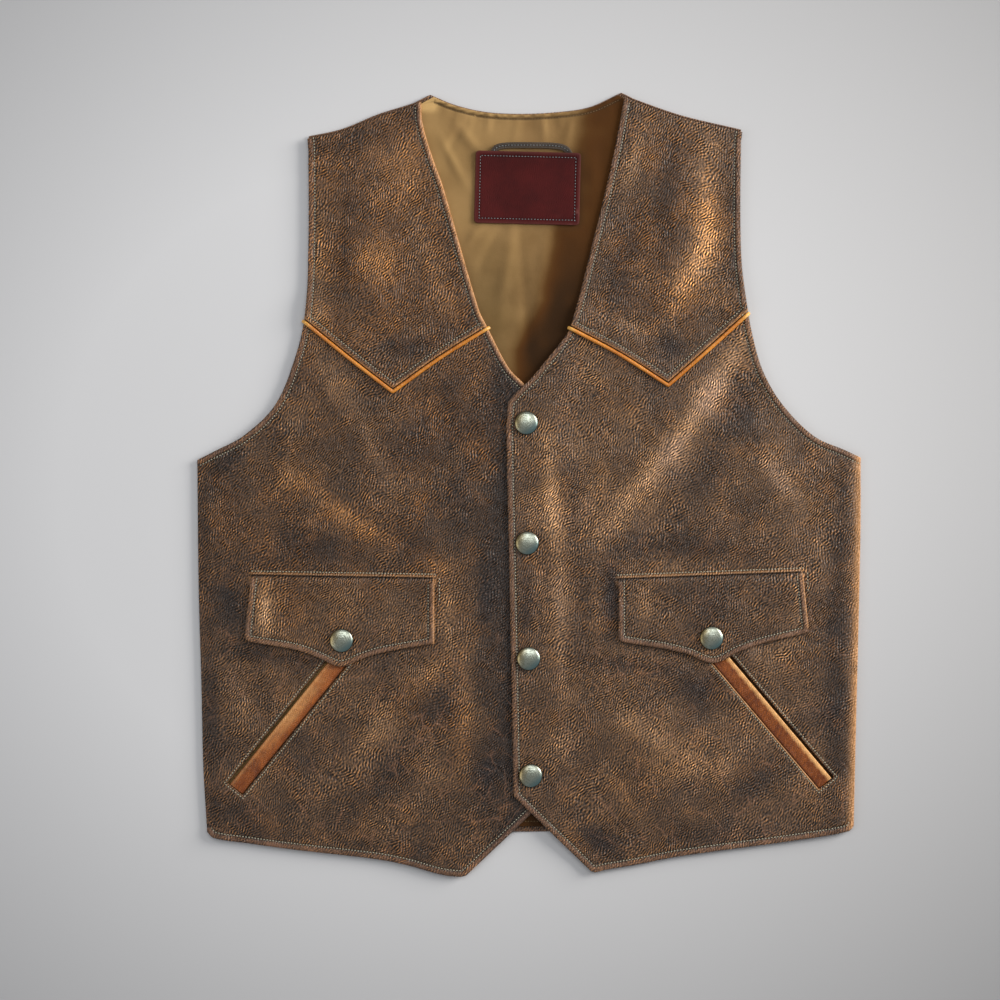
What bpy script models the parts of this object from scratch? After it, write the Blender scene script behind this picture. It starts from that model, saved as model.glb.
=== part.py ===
"""Western leather vest, laid flat on its back with the front closed by four snaps.

All sizes are in millimetres, measured across (+X is to the right as one looks down at the
fronts), along (+Y is towards the neck) and up (+Z). The origin is the middle of the vest's
box, on the surface that it lies on. The wearer's right is on the -X side.
"""
import math

import bmesh
import bpy
from mathutils import Vector
from mathutils.geometry import delaunay_2d_cdt, interpolate_bezier, intersect_line_line_2d

MM = 0.001

# Walls and the gap that parts two pieces
BACK_WALL = 1.6
LINING_WALL = 1.0
FRONT_WALL = 1.8
LABEL_WALL = 1.2
GAP = 0.3

# Levels of the layers, from the surface up
LINING_LEVEL = BACK_WALL + GAP
LABEL_LEVEL = LINING_LEVEL + LINING_WALL + GAP
FRONT_LEVEL = LABEL_LEVEL
SIDE_LEVEL = BACK_WALL + GAP
LAP = FRONT_WALL + GAP

# Spacing of the points in the panels and along their edges
FRONT_MESH = 22.0
BACK_MESH = 34.0
EDGE_STEP = 15.0
SHORTEST_EDGE = 3.0

# Edges of the wearer's right front: (across, along)
RIGHT_SHOULDER = ((-188.5, 294.0), (-158.0, 300.8), (-128.3, 313.0), (-98.0, 322.6), (-91.8, 325.6))
RIGHT_ARMHOLE = ((-282.2, 21.0), (-265.0, 29.5), (-242.0, 42.0), (-216.0, 67.5), (-199.5, 106.0),
                 (-190.5, 144.0), (-187.6, 200.0), (-187.6, 284.0), (-188.5, 294.0))
RIGHT_SIDE = ((-273.8, -295.5), (-277.2, -238.0), (-278.6, -175.0), (-281.0, -90.0), (-282.2, 21.0))
RIGHT_HEM = ((-53.5, -332.5), (-58.5, -333.6), (-75.6, -331.5), (-101.0, -324.3), (-126.6, -319.0),
             (-203.0, -310.0), (-241.5, -304.7), (-268.5, -300.5), (-273.8, -295.5))
RIGHT_POINT = ((14.0, -268.8), (-53.5, -332.5))
RIGHT_NECK = ((-91.8, 325.6), (-90.3, 306.4), (-81.6, 277.0), (-73.0, 253.0), (-42.5, 148.3),
              (-34.8, 132.6), (-17.0, 99.0), (-3.4, 85.0), (11.0, 70.0))
RIGHT_CLOSING = ((11.0, 70.0), (14.0, 58.0), (14.0, -268.8))

# Edges of the wearer's left front, which laps over the right one
LEFT_SHOULDER = ((81.2, 330.0), (89.5, 326.0), (130.0, 312.0), (176.3, 301.0), (181.5, 299.6))
LEFT_ARMHOLE = ((181.5, 299.6), (180.2, 290.0), (180.2, 200.0), (184.5, 157.0), (192.0, 118.6),
                (200.5, 93.0), (216.0, 67.5), (242.3, 41.2), (268.6, 29.3), (282.2, 23.0))
LEFT_SIDE = ((282.2, 23.0), (282.0, -47.0), (278.0, -217.0), (276.3, -290.0))
LEFT_HEM = ((276.3, -290.0), (272.5, -294.6), (230.4, -302.0), (128.4, -316.0), (90.0, -323.4),
            (64.6, -327.7), (56.5, -329.7), (52.5, -328.6))
LEFT_POINT = ((52.5, -328.6), (-13.2, -264.8))
LEFT_CLOSING = ((-13.2, -264.8), (-14.7, -183.0), (-17.4, -50.0), (-19.3, 50.0), (-17.8, 70.0))
LEFT_NECK = ((-17.8, 70.0), (-10.6, 78.6), (2.4, 91.0), (15.3, 106.7), (26.4, 120.3), (35.0, 134.0),
             (55.3, 211.0), (70.3, 274.0), (81.2, 330.0))

# Back panel: it runs past the fronts at the shoulders and stops short of them at the hem
BACK_NECK = ((78.2, 333.6), (52.0, 321.7), (26.4, 317.5), (-7.6, 315.8), (-37.4, 317.5),
             (-62.9, 323.4), (-83.4, 331.7))
BACK_HEM = ((-272.0, -292.5), (0.0, -295.5), (273.5, -289.5))
ARMHOLE_INSET = 1.2
SHOULDER_REACH = 2.2
SHOULDER_ROLL = 1.3
SHOULDER_ROLL_WIDTH = 9.0
LINING_INSETS = {"neck": 1.5, "armhole": 7.0, "side": 12.0, "hem": 4.5}

# Yoke seams, from the armhole or neck edge over the point: the piping's centre line
RIGHT_YOKE_SEAM = ((-190.0, 137.7), (-149.5, 105.0), (-115.8, 79.1), (-76.0, 107.6), (-35.6, 132.7))
LEFT_YOKE_SEAM = ((33.8, 133.6), (76.0, 111.4), (118.3, 84.6), (148.6, 111.3), (186.4, 145.5))
YOKE_POINT = 2
PIPING_WIDTH = 3.6
PIPING_HEIGHT = 2.4
PIPING_SIDES = 8
YOKE_EDGE = PIPING_WIDTH / 2 + 0.4
SEAM_ALLOWANCE = 12.0
RUN_ON = 25.0
YOKE_FALL = 18.0

# Pocket flaps: (across, along) from the top inner corner round
RIGHT_FLAP = {
    "top": ((-80.4, -79.3), (-236.2, -76.6)),
    "outer": ((-236.2, -76.6), (-241.4, -127.6)),
    "bottom": ((-241.4, -127.6), (-237.4, -133.4), (-197.4, -140.6), (-178.7, -147.4),
               (-160.0, -154.7), (-141.0, -148.0), (-125.5, -143.2), (-80.4, -135.2)),
    "inner": ((-80.4, -135.2), (-80.4, -79.3)),
}
LEFT_FLAP = {
    "top": ((232.6, -74.0), (75.6, -80.0)),
    "inner": ((75.6, -80.0), (75.8, -129.6)),
    "bottom": ((75.8, -129.6), (79.8, -133.8), (114.2, -139.6), (134.0, -144.2), (156.6, -151.7),
               (179.8, -141.5), (199.2, -135.0), (232.6, -126.8), (237.0, -121.0)),
    "outer": ((237.0, -121.0), (232.6, -74.0)),
}

# Welts of the slanting pockets: the lower end's middle, and the direction that they run in
WELTS = {
    "right": {"across": -249.7, "along": -258.7, "run": (0.627, 0.779)},
    "left": {"across": 252.7, "along": -253.7, "run": (-0.645, 0.764)},
}
WINDOW_LENGTH = 158.0
WINDOW_WIDTH = 16.4
POCKET_MOUTH = 2.2

# Snap caps: centre of each, in the order from the neck down
FRONT_SNAPS = ((-2.4, 52.3), (-1.6, -49.7), (-0.4, -147.8), (1.4, -247.1))
FLAP_SNAPS = {"right": (-159.2, -132.4), "left": (154.9, -130.3)}
SNAP_RADIUS = 10.0
SNAP_RIM = 0.9
SNAP_HEIGHT = 3.6
SNAP_SIDES = 20

# Label and hanging loop inside the back neck
LABEL_CENTRE = (-1.3, 252.2)
LABEL_SIZE = (89.5, 61.5)
LABEL_CORNER = 3.0
LABEL_TURN = -1.4
LOOP_PATH = ((-30.0, 286.4), (-26.0, 287.6), (-20.0, 288.3), (1.0, 288.6), (24.0, 287.8), (30.5, 286.6),
             (34.5, 285.0))
LOOP_WIDTH = 4.6

# Closing edge: the left front is lifted over the right one, and falls beyond its hidden edge
LAP_FLAT_TO = 18.0
LAP_FALLEN_AT = 48.0

# Border of the fronts that stays flat, and the roll down to the side seam
FLAT_BORDER = 8.0
FOLD_REACH = 34.0
SIDE_ROLL = 12.0

# Largest folds: (across, along, half length, half width, turn from +X in degrees, height)
RIGHT_FOLDS = (
    (-150.0, -10.0, 95.0, 42.0, 68.0, 2.4),
    (-232.0, 8.0, 50.0, 15.0, 55.0, -1.6),
    (-105.0, -215.0, 80.0, 34.0, 40.0, 2.2),
    (-215.0, -200.0, 60.0, 22.0, 52.0, 1.5),
    (-140.0, 200.0, 90.0, 30.0, 82.0, 1.8),
)
LEFT_FOLDS = (
    (107.0, 22.0, 75.0, 24.0, 52.0, 2.6),
    (205.0, -20.0, 80.0, 34.0, 105.0, 2.2),
    (120.0, -225.0, 75.0, 36.0, -35.0, 2.4),
    (52.0, -150.0, 90.0, 20.0, 84.0, 1.6),
    (128.0, 205.0, 85.0, 26.0, 98.0, 1.9),
)


def clear_scene():
    for item in list(bpy.data.objects):
        bpy.data.objects.remove(item, do_unlink=True)


def material(name, colour, roughness, metallic=0.0):
    made = bpy.data.materials.new(name)
    made.use_nodes = True
    shader = made.node_tree.nodes["Principled BSDF"]
    shader.inputs["Base Color"].default_value = (*colour, 1.0)
    shader.inputs["Roughness"].default_value = roughness
    shader.inputs["Metallic"].default_value = metallic
    made.diffuse_color = (*colour, 1.0)
    return made


def smooth(knots, step=EDGE_STEP):
    """A smooth line through the knots, with a point about every step."""
    knots = [Vector(knot) for knot in knots]
    heads = [(knots[min(i + 1, len(knots) - 1)] - knots[max(i - 1, 0)]).normalized()
             for i in range(len(knots))]
    line = []
    for i in range(len(knots) - 1):
        reach = (knots[i + 1] - knots[i]).length
        pieces = max(1, round(reach / step))
        first_handle = knots[i] + heads[i] * reach / 3
        last_handle = knots[i + 1] - heads[i + 1] * reach / 3
        line += interpolate_bezier(knots[i], first_handle, last_handle, knots[i + 1], pieces + 1)[:-1]
    return line + [knots[-1]]


def straight(start, end, step=EDGE_STEP):
    start, end = Vector(start), Vector(end)
    pieces = max(1, round((end - start).length / step))
    return [start.lerp(end, i / pieces) for i in range(pieces + 1)]


def chain(*edges):
    """One closed loop from edges that follow each other end to end."""
    loop = []
    for edge in edges:
        loop += edge[:-1]
    return loop


def side_of(point, start, end):
    return (end[0] - start[0]) * (point[1] - start[1]) - (end[1] - start[1]) * (point[0] - start[0])


def inside(loop, point):
    """Whether a point lies inside a closed loop."""
    hit = False
    for a, b in zip(loop, loop[1:] + loop[:1]):
        if (a[1] > point[1]) != (b[1] > point[1]):
            if point[0] < a[0] + (b[0] - a[0]) * (point[1] - a[1]) / (b[1] - a[1]):
                hit = not hit
    return hit


def distance(line, point):
    """Shortest distance from a point to an open line."""
    point = Vector(point)
    nearest = math.inf
    for a, b in zip(line, line[1:]):
        run = b - a
        along = max(0.0, min(1.0, (point - a).dot(run) / run.length_squared))
        nearest = min(nearest, (point - a - run * along).length)
    return nearest


def ease(value):
    """Smooth step from 0 to 1."""
    value = max(0.0, min(1.0, value))
    return value * value * (3 - 2 * value)


def offset(line, reach):
    """The line moved to its left by reach, with mitred corners."""
    moved = []
    for i, point in enumerate(line):
        before = (point - line[i - 1]).normalized() if i else None
        after = (line[i + 1] - point).normalized() if i < len(line) - 1 else None
        before = before or after
        after = after or before
        normal = Vector((-before.y - after.y, before.x + after.x)).normalized()
        squeeze = max(0.5, normal.dot(Vector((-after.y, after.x))))
        moved.append(point + normal * reach / squeeze)
    return moved


def pointed(knots, corner):
    """A smooth line on each side of one sharp corner."""
    return smooth(knots[:corner + 1])[:-1] + smooth(knots[corner:])


def extended(line, reach):
    """The line with a straight stretch added at both ends."""
    before = line[0] + (line[0] - line[1]).normalized() * reach
    after = line[-1] + (line[-1] - line[-2]).normalized() * reach
    return [before, *line, after]


def join_at_crossings(loop, line):
    """Give a loop and the line across it the same points where they meet.

    The line is cut back to the loop's inside, and loop points next to a meeting point go.
    """
    kept_loop, meetings = [], []
    for a, b in zip(loop, loop[1:] + loop[:1]):
        kept_loop.append(a)
        for c, d in zip(line, line[1:]):
            meeting = intersect_line_line_2d(a, b, c, d)
            if meeting is not None:
                kept_loop.append(meeting)
                meetings.append(meeting)
    kept_loop = [p for p in kept_loop
                 if any(p is m for m in meetings) or all((p - m).length > SHORTEST_EDGE for m in meetings)]
    middle = [p for p in line if inside(loop, p) and all((p - m).length > SHORTEST_EDGE for m in meetings)]
    meetings.sort(key=lambda m: (m - line[0]).length)
    return kept_loop, [meetings[0], *middle, meetings[-1]]


def flat_mesh(loops, lines, spacing):
    """Triangles that keep every loop and line as edges, over an even grid inside the first loop."""
    points, edges = [], []
    for loop in loops:
        first = len(points)
        points += loop
        edges += [(first + i, first + (i + 1) % len(loop)) for i in range(len(loop))]
    for line in lines:
        first = len(points)
        points += line
        edges += [(first + i, first + i + 1) for i in range(len(line) - 1)]
    fixed = [loop + loop[:1] for loop in loops] + list(lines)
    low = Vector((min(p.x for p in loops[0]), min(p.y for p in loops[0])))
    high = Vector((max(p.x for p in loops[0]), max(p.y for p in loops[0])))
    rise = spacing * math.sqrt(3) / 2
    for row in range(int((high.y - low.y) / rise) + 1):
        for column in range(int((high.x - low.x) / spacing) + 1):
            point = low + Vector(((column + 0.5 * (row % 2)) * spacing, row * rise))
            if inside(loops[0], point) and all(distance(line, point) > 0.5 * spacing for line in fixed):
                points.append(point)
    found = delaunay_2d_cdt(points, edges, [], 0, 1e-4)
    return found[0], [tuple(face) for face in found[2]]


def pick(mesh, keep):
    """The triangles of a flat mesh whose middles are kept, with only the points that they use."""
    points, triangles = mesh
    chosen = [t for t in triangles if keep((points[t[0]] + points[t[1]] + points[t[2]]) / 3)]
    used = sorted({i for t in chosen for i in t})
    place = {old: new for new, old in enumerate(used)}
    return [points[i] for i in used], [tuple(place[i] for i in t) for t in chosen]


def add_object(name, mesh_data, finish, rounded=False):
    mesh = bpy.data.meshes.new(name)
    mesh_data.to_mesh(mesh)
    mesh_data.free()
    if rounded:
        mesh.shade_smooth()
        mesh.set_sharp_from_angle(angle=math.radians(35))
    mesh.materials.append(finish)
    made = bpy.data.objects.new(name, mesh)
    bpy.context.collection.objects.link(made)
    return made


def wall(name, mesh, level, thickness, finish):
    """A cloth wall: the flat mesh at level(x, y), its copy one thickness up, and the rim between."""
    points, triangles = mesh
    built = bmesh.new()
    lower = [built.verts.new((p.x * MM, p.y * MM, level(p) * MM)) for p in points]
    upper = [built.verts.new((p.x * MM, p.y * MM, (level(p) + thickness) * MM)) for p in points]
    sides = {}
    for a, b, c in triangles:
        built.faces.new((upper[a], upper[b], upper[c]))
        built.faces.new((lower[c], lower[b], lower[a]))
        for start, end in ((a, b), (b, c), (c, a)):
            if (end, start) in sides:
                del sides[(end, start)]
            else:
                sides[(start, end)] = True
    for start, end in sides:
        built.faces.new((lower[start], lower[end], upper[end], upper[start]))
    return add_object(name, built, finish)


def fold_height(folds, point):
    """Height of the large folds over the flat panel, never below it."""
    total = 0.0
    for across, along, half_length, half_width, turn, height in folds:
        offset_here = Vector((point.x - across, point.y - along))
        run = Vector((math.cos(math.radians(turn)), math.sin(math.radians(turn))))
        lengthwise = offset_here.dot(run) / half_length
        sideways = (offset_here.x * run.y - offset_here.y * run.x) / half_width
        total += height * math.exp(-lengthwise ** 2 - sideways ** 2)
    return max(0.0, total)


class Front:
    """One front with its yoke, piping, flap and welt, all cut from one flat mesh."""

    def __init__(self, side, edges, side_edge, seam, flap, folds, lifted):
        self.side = side
        self.folds = folds
        self.lifted = lifted
        self.side_line = smooth(side_edge)
        outline = chain(*edges)
        self.seam = extended(pointed(seam, YOKE_POINT), RUN_ON)
        outline, self.yoke_edge = join_at_crossings(outline, offset(self.seam, YOKE_EDGE))
        outline, self.lap_edge = join_at_crossings(outline, offset(self.seam, SEAM_ALLOWANCE))
        side_fold = extended(offset(self.side_line, -SIDE_ROLL), RUN_ON)
        outline, self.side_fold = join_at_crossings(outline, side_fold)
        self.outline = outline
        self.flap = chain(*(smooth(edge) for edge in flap.values()))
        if side == "left":
            self.flap = list(reversed(self.flap))
        self.window = self.window_loop(WINDOW_WIDTH, 0.0, 0.0)
        lines = [self.yoke_edge, self.lap_edge, self.side_fold]
        if lifted:
            lines.append(straight((LAP_FLAT_TO, -280.0), (LAP_FLAT_TO, 100.0)))
        self.mesh = flat_mesh([outline, self.flap, self.window], lines, FRONT_MESH)

    def window_loop(self, width, shift, short):
        """Rectangle along the pocket, its width and ends made smaller for the welt."""
        place = WELTS[self.side]
        run = Vector(place["run"]).normalized()
        outward = Vector((-run.y, run.x)) if self.side == "right" else Vector((run.y, -run.x))
        low = Vector((place["across"], place["along"])) + run * short - outward * shift
        high = low + run * (WINDOW_LENGTH - 2 * short)
        half = outward * width / 2
        corners = [low + half, low - half, high - half, high + half]
        loop = chain(*(straight(a, b, 22.0) for a, b in zip(corners, corners[1:] + corners[:1])))
        turning = sum(side_of(b, a, c) for a, b, c in zip(corners, corners[1:], corners[2:]))
        return loop if turning < 0 else list(reversed(loop))

    def above(self, line, point):
        """Whether a point lies on the shoulder's side of a line that runs across the front."""
        for a, b in zip(line, line[1:]):
            low, high = (a, b) if a.x < b.x else (b, a)
            if low.x <= point.x <= high.x:
                return side_of(point, low, high) > 0
        end = line[0] if abs(line[0].x - point.x) < abs(line[-1].x - point.x) else line[-1]
        return point.y > end.y

    def level(self, point):
        """Underside of the front."""
        edge = self.outline + self.outline[:1]
        free = ease((distance(edge, point) - FLAT_BORDER) / FOLD_REACH)
        height = FRONT_LEVEL + free * fold_height(self.folds, point)
        height -= (FRONT_LEVEL - SIDE_LEVEL) * ease(1 - distance(self.side_line, point) / SIDE_ROLL)
        if self.lifted:
            height += LAP * ease((LAP_FALLEN_AT - point.x) / (LAP_FALLEN_AT - LAP_FLAT_TO))
        return height

    def yoke_level(self, point):
        """Underside of the yoke: on the front along the seam, and down beside it further up."""
        past_lap = distance(self.lap_edge, point) if self.above(self.lap_edge, point) else 0.0
        return self.level(point) + LAP * ease(1 - past_lap / YOKE_FALL)

    def build(self, leather, piping, welt):
        def in_outline(point):
            return inside(self.outline, point)

        main = pick(self.mesh, lambda p: in_outline(p) and not self.above(self.lap_edge, p)
                    and not inside(self.window, p))
        wall(f"front_{self.side}", main, self.level, FRONT_WALL, leather)
        yoke = pick(self.mesh, lambda p: in_outline(p) and self.above(self.yoke_edge, p))
        wall(f"yoke_{self.side}", yoke, self.yoke_level, FRONT_WALL, leather)
        flap = pick(self.mesh, lambda p: inside(self.flap, p))
        wall(f"flap_{self.side}", flap, lambda p: self.level(p) + LAP, FRONT_WALL, leather)
        strip = self.window_loop(WINDOW_WIDTH - GAP - POCKET_MOUTH, (POCKET_MOUTH - GAP) / 2, GAP)
        strip_mesh = pick(flat_mesh([strip], [], FRONT_MESH), lambda p: inside(strip, p))
        wall(f"welt_{self.side}", strip_mesh, self.level, FRONT_WALL - GAP, welt)
        self.build_piping(piping)

    def build_piping(self, finish):
        """A flattened cord along the yoke's edge, cut off at the armhole and the neck."""
        path = [p for p in self.seam if inside(self.outline, p)
                and distance(self.outline + self.outline[:1], p) > PIPING_WIDTH / 3]
        heights = [self.level(p) + LAP + PIPING_HEIGHT / 2 for p in path]
        lefts = offset(path, 1.0)
        built = bmesh.new()
        rings = []
        for point, left, height in zip(path, lefts, heights):
            ring = []
            for i in range(PIPING_SIDES):
                angle = math.tau * (i + 0.5) / PIPING_SIDES
                spot = point + (left - point) * math.cos(angle) * PIPING_WIDTH / 2
                up = height + math.sin(angle) * PIPING_HEIGHT / 2
                ring.append(built.verts.new((spot.x * MM, spot.y * MM, up * MM)))
            rings.append(ring)
        for ring, after in zip(rings, rings[1:]):
            for i in range(PIPING_SIDES):
                j = (i + 1) % PIPING_SIDES
                built.faces.new((ring[i], ring[j], after[j], after[i]))
        built.faces.new(reversed(rings[0]))
        built.faces.new(rings[-1])
        bmesh.ops.recalc_face_normals(built, faces=built.faces)
        add_object(f"piping_{self.side}", built, finish, rounded=True)

    def build_snap(self, name, centre, extra, finish):
        """A domed cap that rests on the highest point under it."""
        centre = Vector(centre)
        ring = [centre + Vector((math.cos(a), math.sin(a))) * SNAP_RADIUS * share
                for share in (0.0, 0.5, 1.0) for a in (math.tau * i / 12 for i in range(12))]
        seat = max(self.level(p) for p in ring) + FRONT_WALL + extra + GAP
        snap_cap(name, centre, seat, finish)


def snap_cap(name, centre, seat, finish):
    built = bmesh.new()
    profile = [(SNAP_RADIUS, 0.0), (SNAP_RADIUS, SNAP_RIM)]
    for share in (0.82, 0.55, 0.25):
        rise = math.sqrt(1 - share ** 2)
        profile.append((SNAP_RADIUS * share, SNAP_RIM + (SNAP_HEIGHT - SNAP_RIM) * rise))
    rings = []
    for radius, up in profile:
        ring = []
        for i in range(SNAP_SIDES):
            angle = math.tau * i / SNAP_SIDES
            spot = (centre.x + radius * math.cos(angle), centre.y + radius * math.sin(angle), seat + up)
            ring.append(built.verts.new([value * MM for value in spot]))
        rings.append(ring)
    for ring, after in zip(rings, rings[1:]):
        for i in range(SNAP_SIDES):
            j = (i + 1) % SNAP_SIDES
            built.faces.new((ring[i], ring[j], after[j], after[i]))
    built.faces.new(reversed(rings[0]))
    built.faces.new(rings[-1])
    add_object(name, built, finish, rounded=True)


def back_edges():
    """The back panel's edges by name, each from a front's edge moved in or out."""
    armhole_right = offset(smooth(RIGHT_ARMHOLE), -ARMHOLE_INSET)
    armhole_left = offset(smooth(LEFT_ARMHOLE), -ARMHOLE_INSET)
    shoulder_right = offset(smooth(RIGHT_SHOULDER), SHOULDER_REACH)
    shoulder_left = offset(smooth(LEFT_SHOULDER), SHOULDER_REACH)
    side_right = offset(smooth(RIGHT_SIDE), -GAP)
    side_left = offset(smooth(LEFT_SIDE), -GAP)
    return {
        "hem": smooth(BACK_HEM),
        "side_left": list(reversed(side_left)),
        "armhole_left": list(reversed(armhole_left)),
        "shoulder_left": list(reversed(shoulder_left)),
        "neck": smooth(BACK_NECK),
        "shoulder_right": list(reversed(shoulder_right)),
        "armhole_right": list(reversed(armhole_right)),
        "side_right": list(reversed(side_right)),
    }


def meet(first, second):
    """Two edges cut back, or run on, to the point where they cross."""
    run_on = extended(first, RUN_ON)[1:]
    run_up = extended(second, RUN_ON)[:-1]
    for i, (a, b) in enumerate(zip(run_on, run_on[1:])):
        for j, (c, d) in enumerate(zip(run_up, run_up[1:])):
            corner = intersect_line_line_2d(a, b, c, d)
            if corner is not None:
                return run_on[:i + 1] + [corner], [corner] + run_up[j + 1:]
    raise ValueError("two edges of a panel don't meet")


def joined_loop(edges):
    """One loop from edges that cross or nearly meet."""
    edges = dict(edges)
    names = list(edges)
    for name, after in zip(names, names[1:] + names[:1]):
        edges[name], edges[after] = meet(edges[name], edges[after])
    return chain(*edges.values())


def build_back(leather, cotton):
    edges = back_edges()
    outline = joined_loop(edges)
    shoulders = [edges["shoulder_left"], edges["shoulder_right"]]
    inner = {}
    for name, edge in edges.items():
        inset = LINING_INSETS.get(name.split("_")[0], SHOULDER_ROLL_WIDTH)
        inner[name] = offset(edge, inset)
    lining_loop = trimmed(joined_loop(inner))
    mesh = flat_mesh([outline, lining_loop], [], BACK_MESH)

    def level(point):
        near = min(distance(edge, point) for edge in shoulders)
        return SHOULDER_ROLL * ease(1 - near / SHOULDER_ROLL_WIDTH)

    wall("back_panel", pick(mesh, lambda p: inside(outline, p)), level, BACK_WALL, leather)
    lining = pick(mesh, lambda p: inside(lining_loop, p))
    wall("back_lining", lining, lambda p: LINING_LEVEL, LINING_WALL, cotton)


def trimmed(loop):
    """A loop without points that crowd each other."""
    kept = [loop[0]]
    for point in loop[1:]:
        if (point - kept[-1]).length > SHORTEST_EDGE and (point - loop[0]).length > SHORTEST_EDGE:
            kept.append(point)
    return kept


def build_label(leather, loop_leather):
    half_width, half_height = LABEL_SIZE[0] / 2, LABEL_SIZE[1] / 2
    turn = math.radians(LABEL_TURN)
    loop = []
    for quarter, (sign_x, sign_y) in enumerate(((1, -1), (1, 1), (-1, 1), (-1, -1))):
        corner = Vector((sign_x * (half_width - LABEL_CORNER), sign_y * (half_height - LABEL_CORNER)))
        for i in range(4):
            angle = math.radians(90 * (quarter - 1) + 30 * i)
            spot = corner + Vector((math.cos(angle), math.sin(angle))) * LABEL_CORNER
            turned = Vector((spot.x * math.cos(turn) - spot.y * math.sin(turn),
                             spot.x * math.sin(turn) + spot.y * math.cos(turn)))
            loop.append(Vector(LABEL_CENTRE) + turned)
    label = pick(flat_mesh([loop], [], 30.0), lambda p: inside(loop, p))
    wall("label", label, lambda p: LABEL_LEVEL, LABEL_WALL, leather)
    path = smooth(LOOP_PATH, 6.0)
    strap = list(reversed(offset(path, LOOP_WIDTH / 2))) + offset(path, -LOOP_WIDTH / 2)
    band = pick(flat_mesh([strap], [], 30.0), lambda p: inside(strap, p))
    wall("hanger_loop", band, lambda p: LABEL_LEVEL, LABEL_WALL, loop_leather)


def main():
    clear_scene()
    leather = material("distressed_leather", (0.11, 0.055, 0.028), 0.55)
    cotton = material("lining_cotton", (0.30, 0.20, 0.10), 0.9)
    piping = material("piping_leather", (0.52, 0.20, 0.04), 0.45)
    welt = material("welt_leather", (0.42, 0.15, 0.035), 0.4)
    label = material("label_leather", (0.13, 0.022, 0.022), 0.5)
    loop = material("loop_leather", (0.10, 0.06, 0.03), 0.6)
    silver = material("antique_silver", (0.55, 0.53, 0.48), 0.35, 1.0)

    build_back(leather, cotton)
    build_label(label, loop)
    right = Front(
        "right",
        [smooth(RIGHT_CLOSING)[::-1], smooth(RIGHT_NECK)[::-1], smooth(RIGHT_SHOULDER)[::-1],
         smooth(RIGHT_ARMHOLE)[::-1], smooth(RIGHT_SIDE)[::-1], smooth(RIGHT_HEM)[::-1],
         smooth(RIGHT_POINT)[::-1]],
        RIGHT_SIDE, RIGHT_YOKE_SEAM, RIGHT_FLAP, RIGHT_FOLDS, lifted=False)
    left = Front(
        "left",
        [smooth(LEFT_CLOSING)[::-1], smooth(LEFT_POINT)[::-1], smooth(LEFT_HEM)[::-1],
         smooth(LEFT_SIDE)[::-1], smooth(LEFT_ARMHOLE)[::-1], smooth(LEFT_SHOULDER)[::-1],
         smooth(LEFT_NECK)[::-1]],
        LEFT_SIDE, LEFT_YOKE_SEAM, LEFT_FLAP, LEFT_FOLDS, lifted=True)
    for front in (right, left):
        front.build(leather, piping, welt)
        front.build_snap(f"snap_flap_{front.side}", FLAP_SNAPS[front.side], LAP, silver)
    for number, centre in enumerate(FRONT_SNAPS, start=1):
        left.build_snap(f"snap_front_{number}", centre, 0.0, silver)


main()
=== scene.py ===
"""Looks of the western vest: leather and cotton shells, stitching, trim and snaps.

The tables are in millimetres, in the frame's axes: across (+X), along (+Y, to the neck) and
up (+Z). The wearer's right is on the -X side. The meshes are in metres.
"""

import math

import bpy
import numpy as np
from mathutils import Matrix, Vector
from mathutils.geometry import delaunay_2d_cdt, interpolate_bezier, intersect_line_line_2d


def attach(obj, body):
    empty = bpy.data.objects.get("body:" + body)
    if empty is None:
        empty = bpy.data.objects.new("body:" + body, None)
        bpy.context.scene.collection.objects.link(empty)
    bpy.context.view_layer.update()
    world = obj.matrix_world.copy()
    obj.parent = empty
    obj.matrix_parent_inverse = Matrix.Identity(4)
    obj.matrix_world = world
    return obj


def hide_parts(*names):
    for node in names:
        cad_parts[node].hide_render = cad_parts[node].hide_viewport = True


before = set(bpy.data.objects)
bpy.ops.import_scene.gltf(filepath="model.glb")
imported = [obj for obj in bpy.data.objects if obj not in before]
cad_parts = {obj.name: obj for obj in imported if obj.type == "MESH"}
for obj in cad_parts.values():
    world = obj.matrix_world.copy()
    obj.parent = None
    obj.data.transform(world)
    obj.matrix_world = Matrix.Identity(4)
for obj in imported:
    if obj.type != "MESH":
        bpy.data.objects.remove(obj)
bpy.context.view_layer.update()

MM = 0.001

# Walls, levels and gaps of the layers, as the solids have them
BACK_WALL = 1.6
LINING_WALL = 1.0
LEATHER_WALL = 1.8
LABEL_WALL = 1.2
GAP = 0.3
LINING_TOP = BACK_WALL + GAP + LINING_WALL
FRONT_TOP = LINING_TOP + GAP + LEATHER_WALL
SIDE_DROP = LINING_WALL + GAP
LAP = LEATHER_WALL + GAP

# Fineness of the meshes
EDGE_STEP = 2.4
LEATHER_MESH = 2.3
HIDDEN_MESH = 13.0
RIM = 0.9
RIM_STEPS = 6
EDGE_RINGS = (1.6, 2.4, 3.2, 3.9, 4.4, 4.8, 5.2, 5.6, 6.0, 6.6, 7.5, 8.8)
RUN_ON = 25.0
SHARP_TURN = 0.35
CORNER_ROOM = 1.8
CHUNK = 1500

# Topstitching and the turned edge beside it
STITCH_INSET = 5.2
YOKE_STITCH_INSET = 4.3
STITCH_PITCH = 2.6
BEAD_HEIGHT = 0.8
GROOVE_DEPTH = 0.5
GROOVE_WIDTH = 0.8
PUCKER_HEIGHT = 0.22
PUCKER_REACH = 6.0

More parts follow.
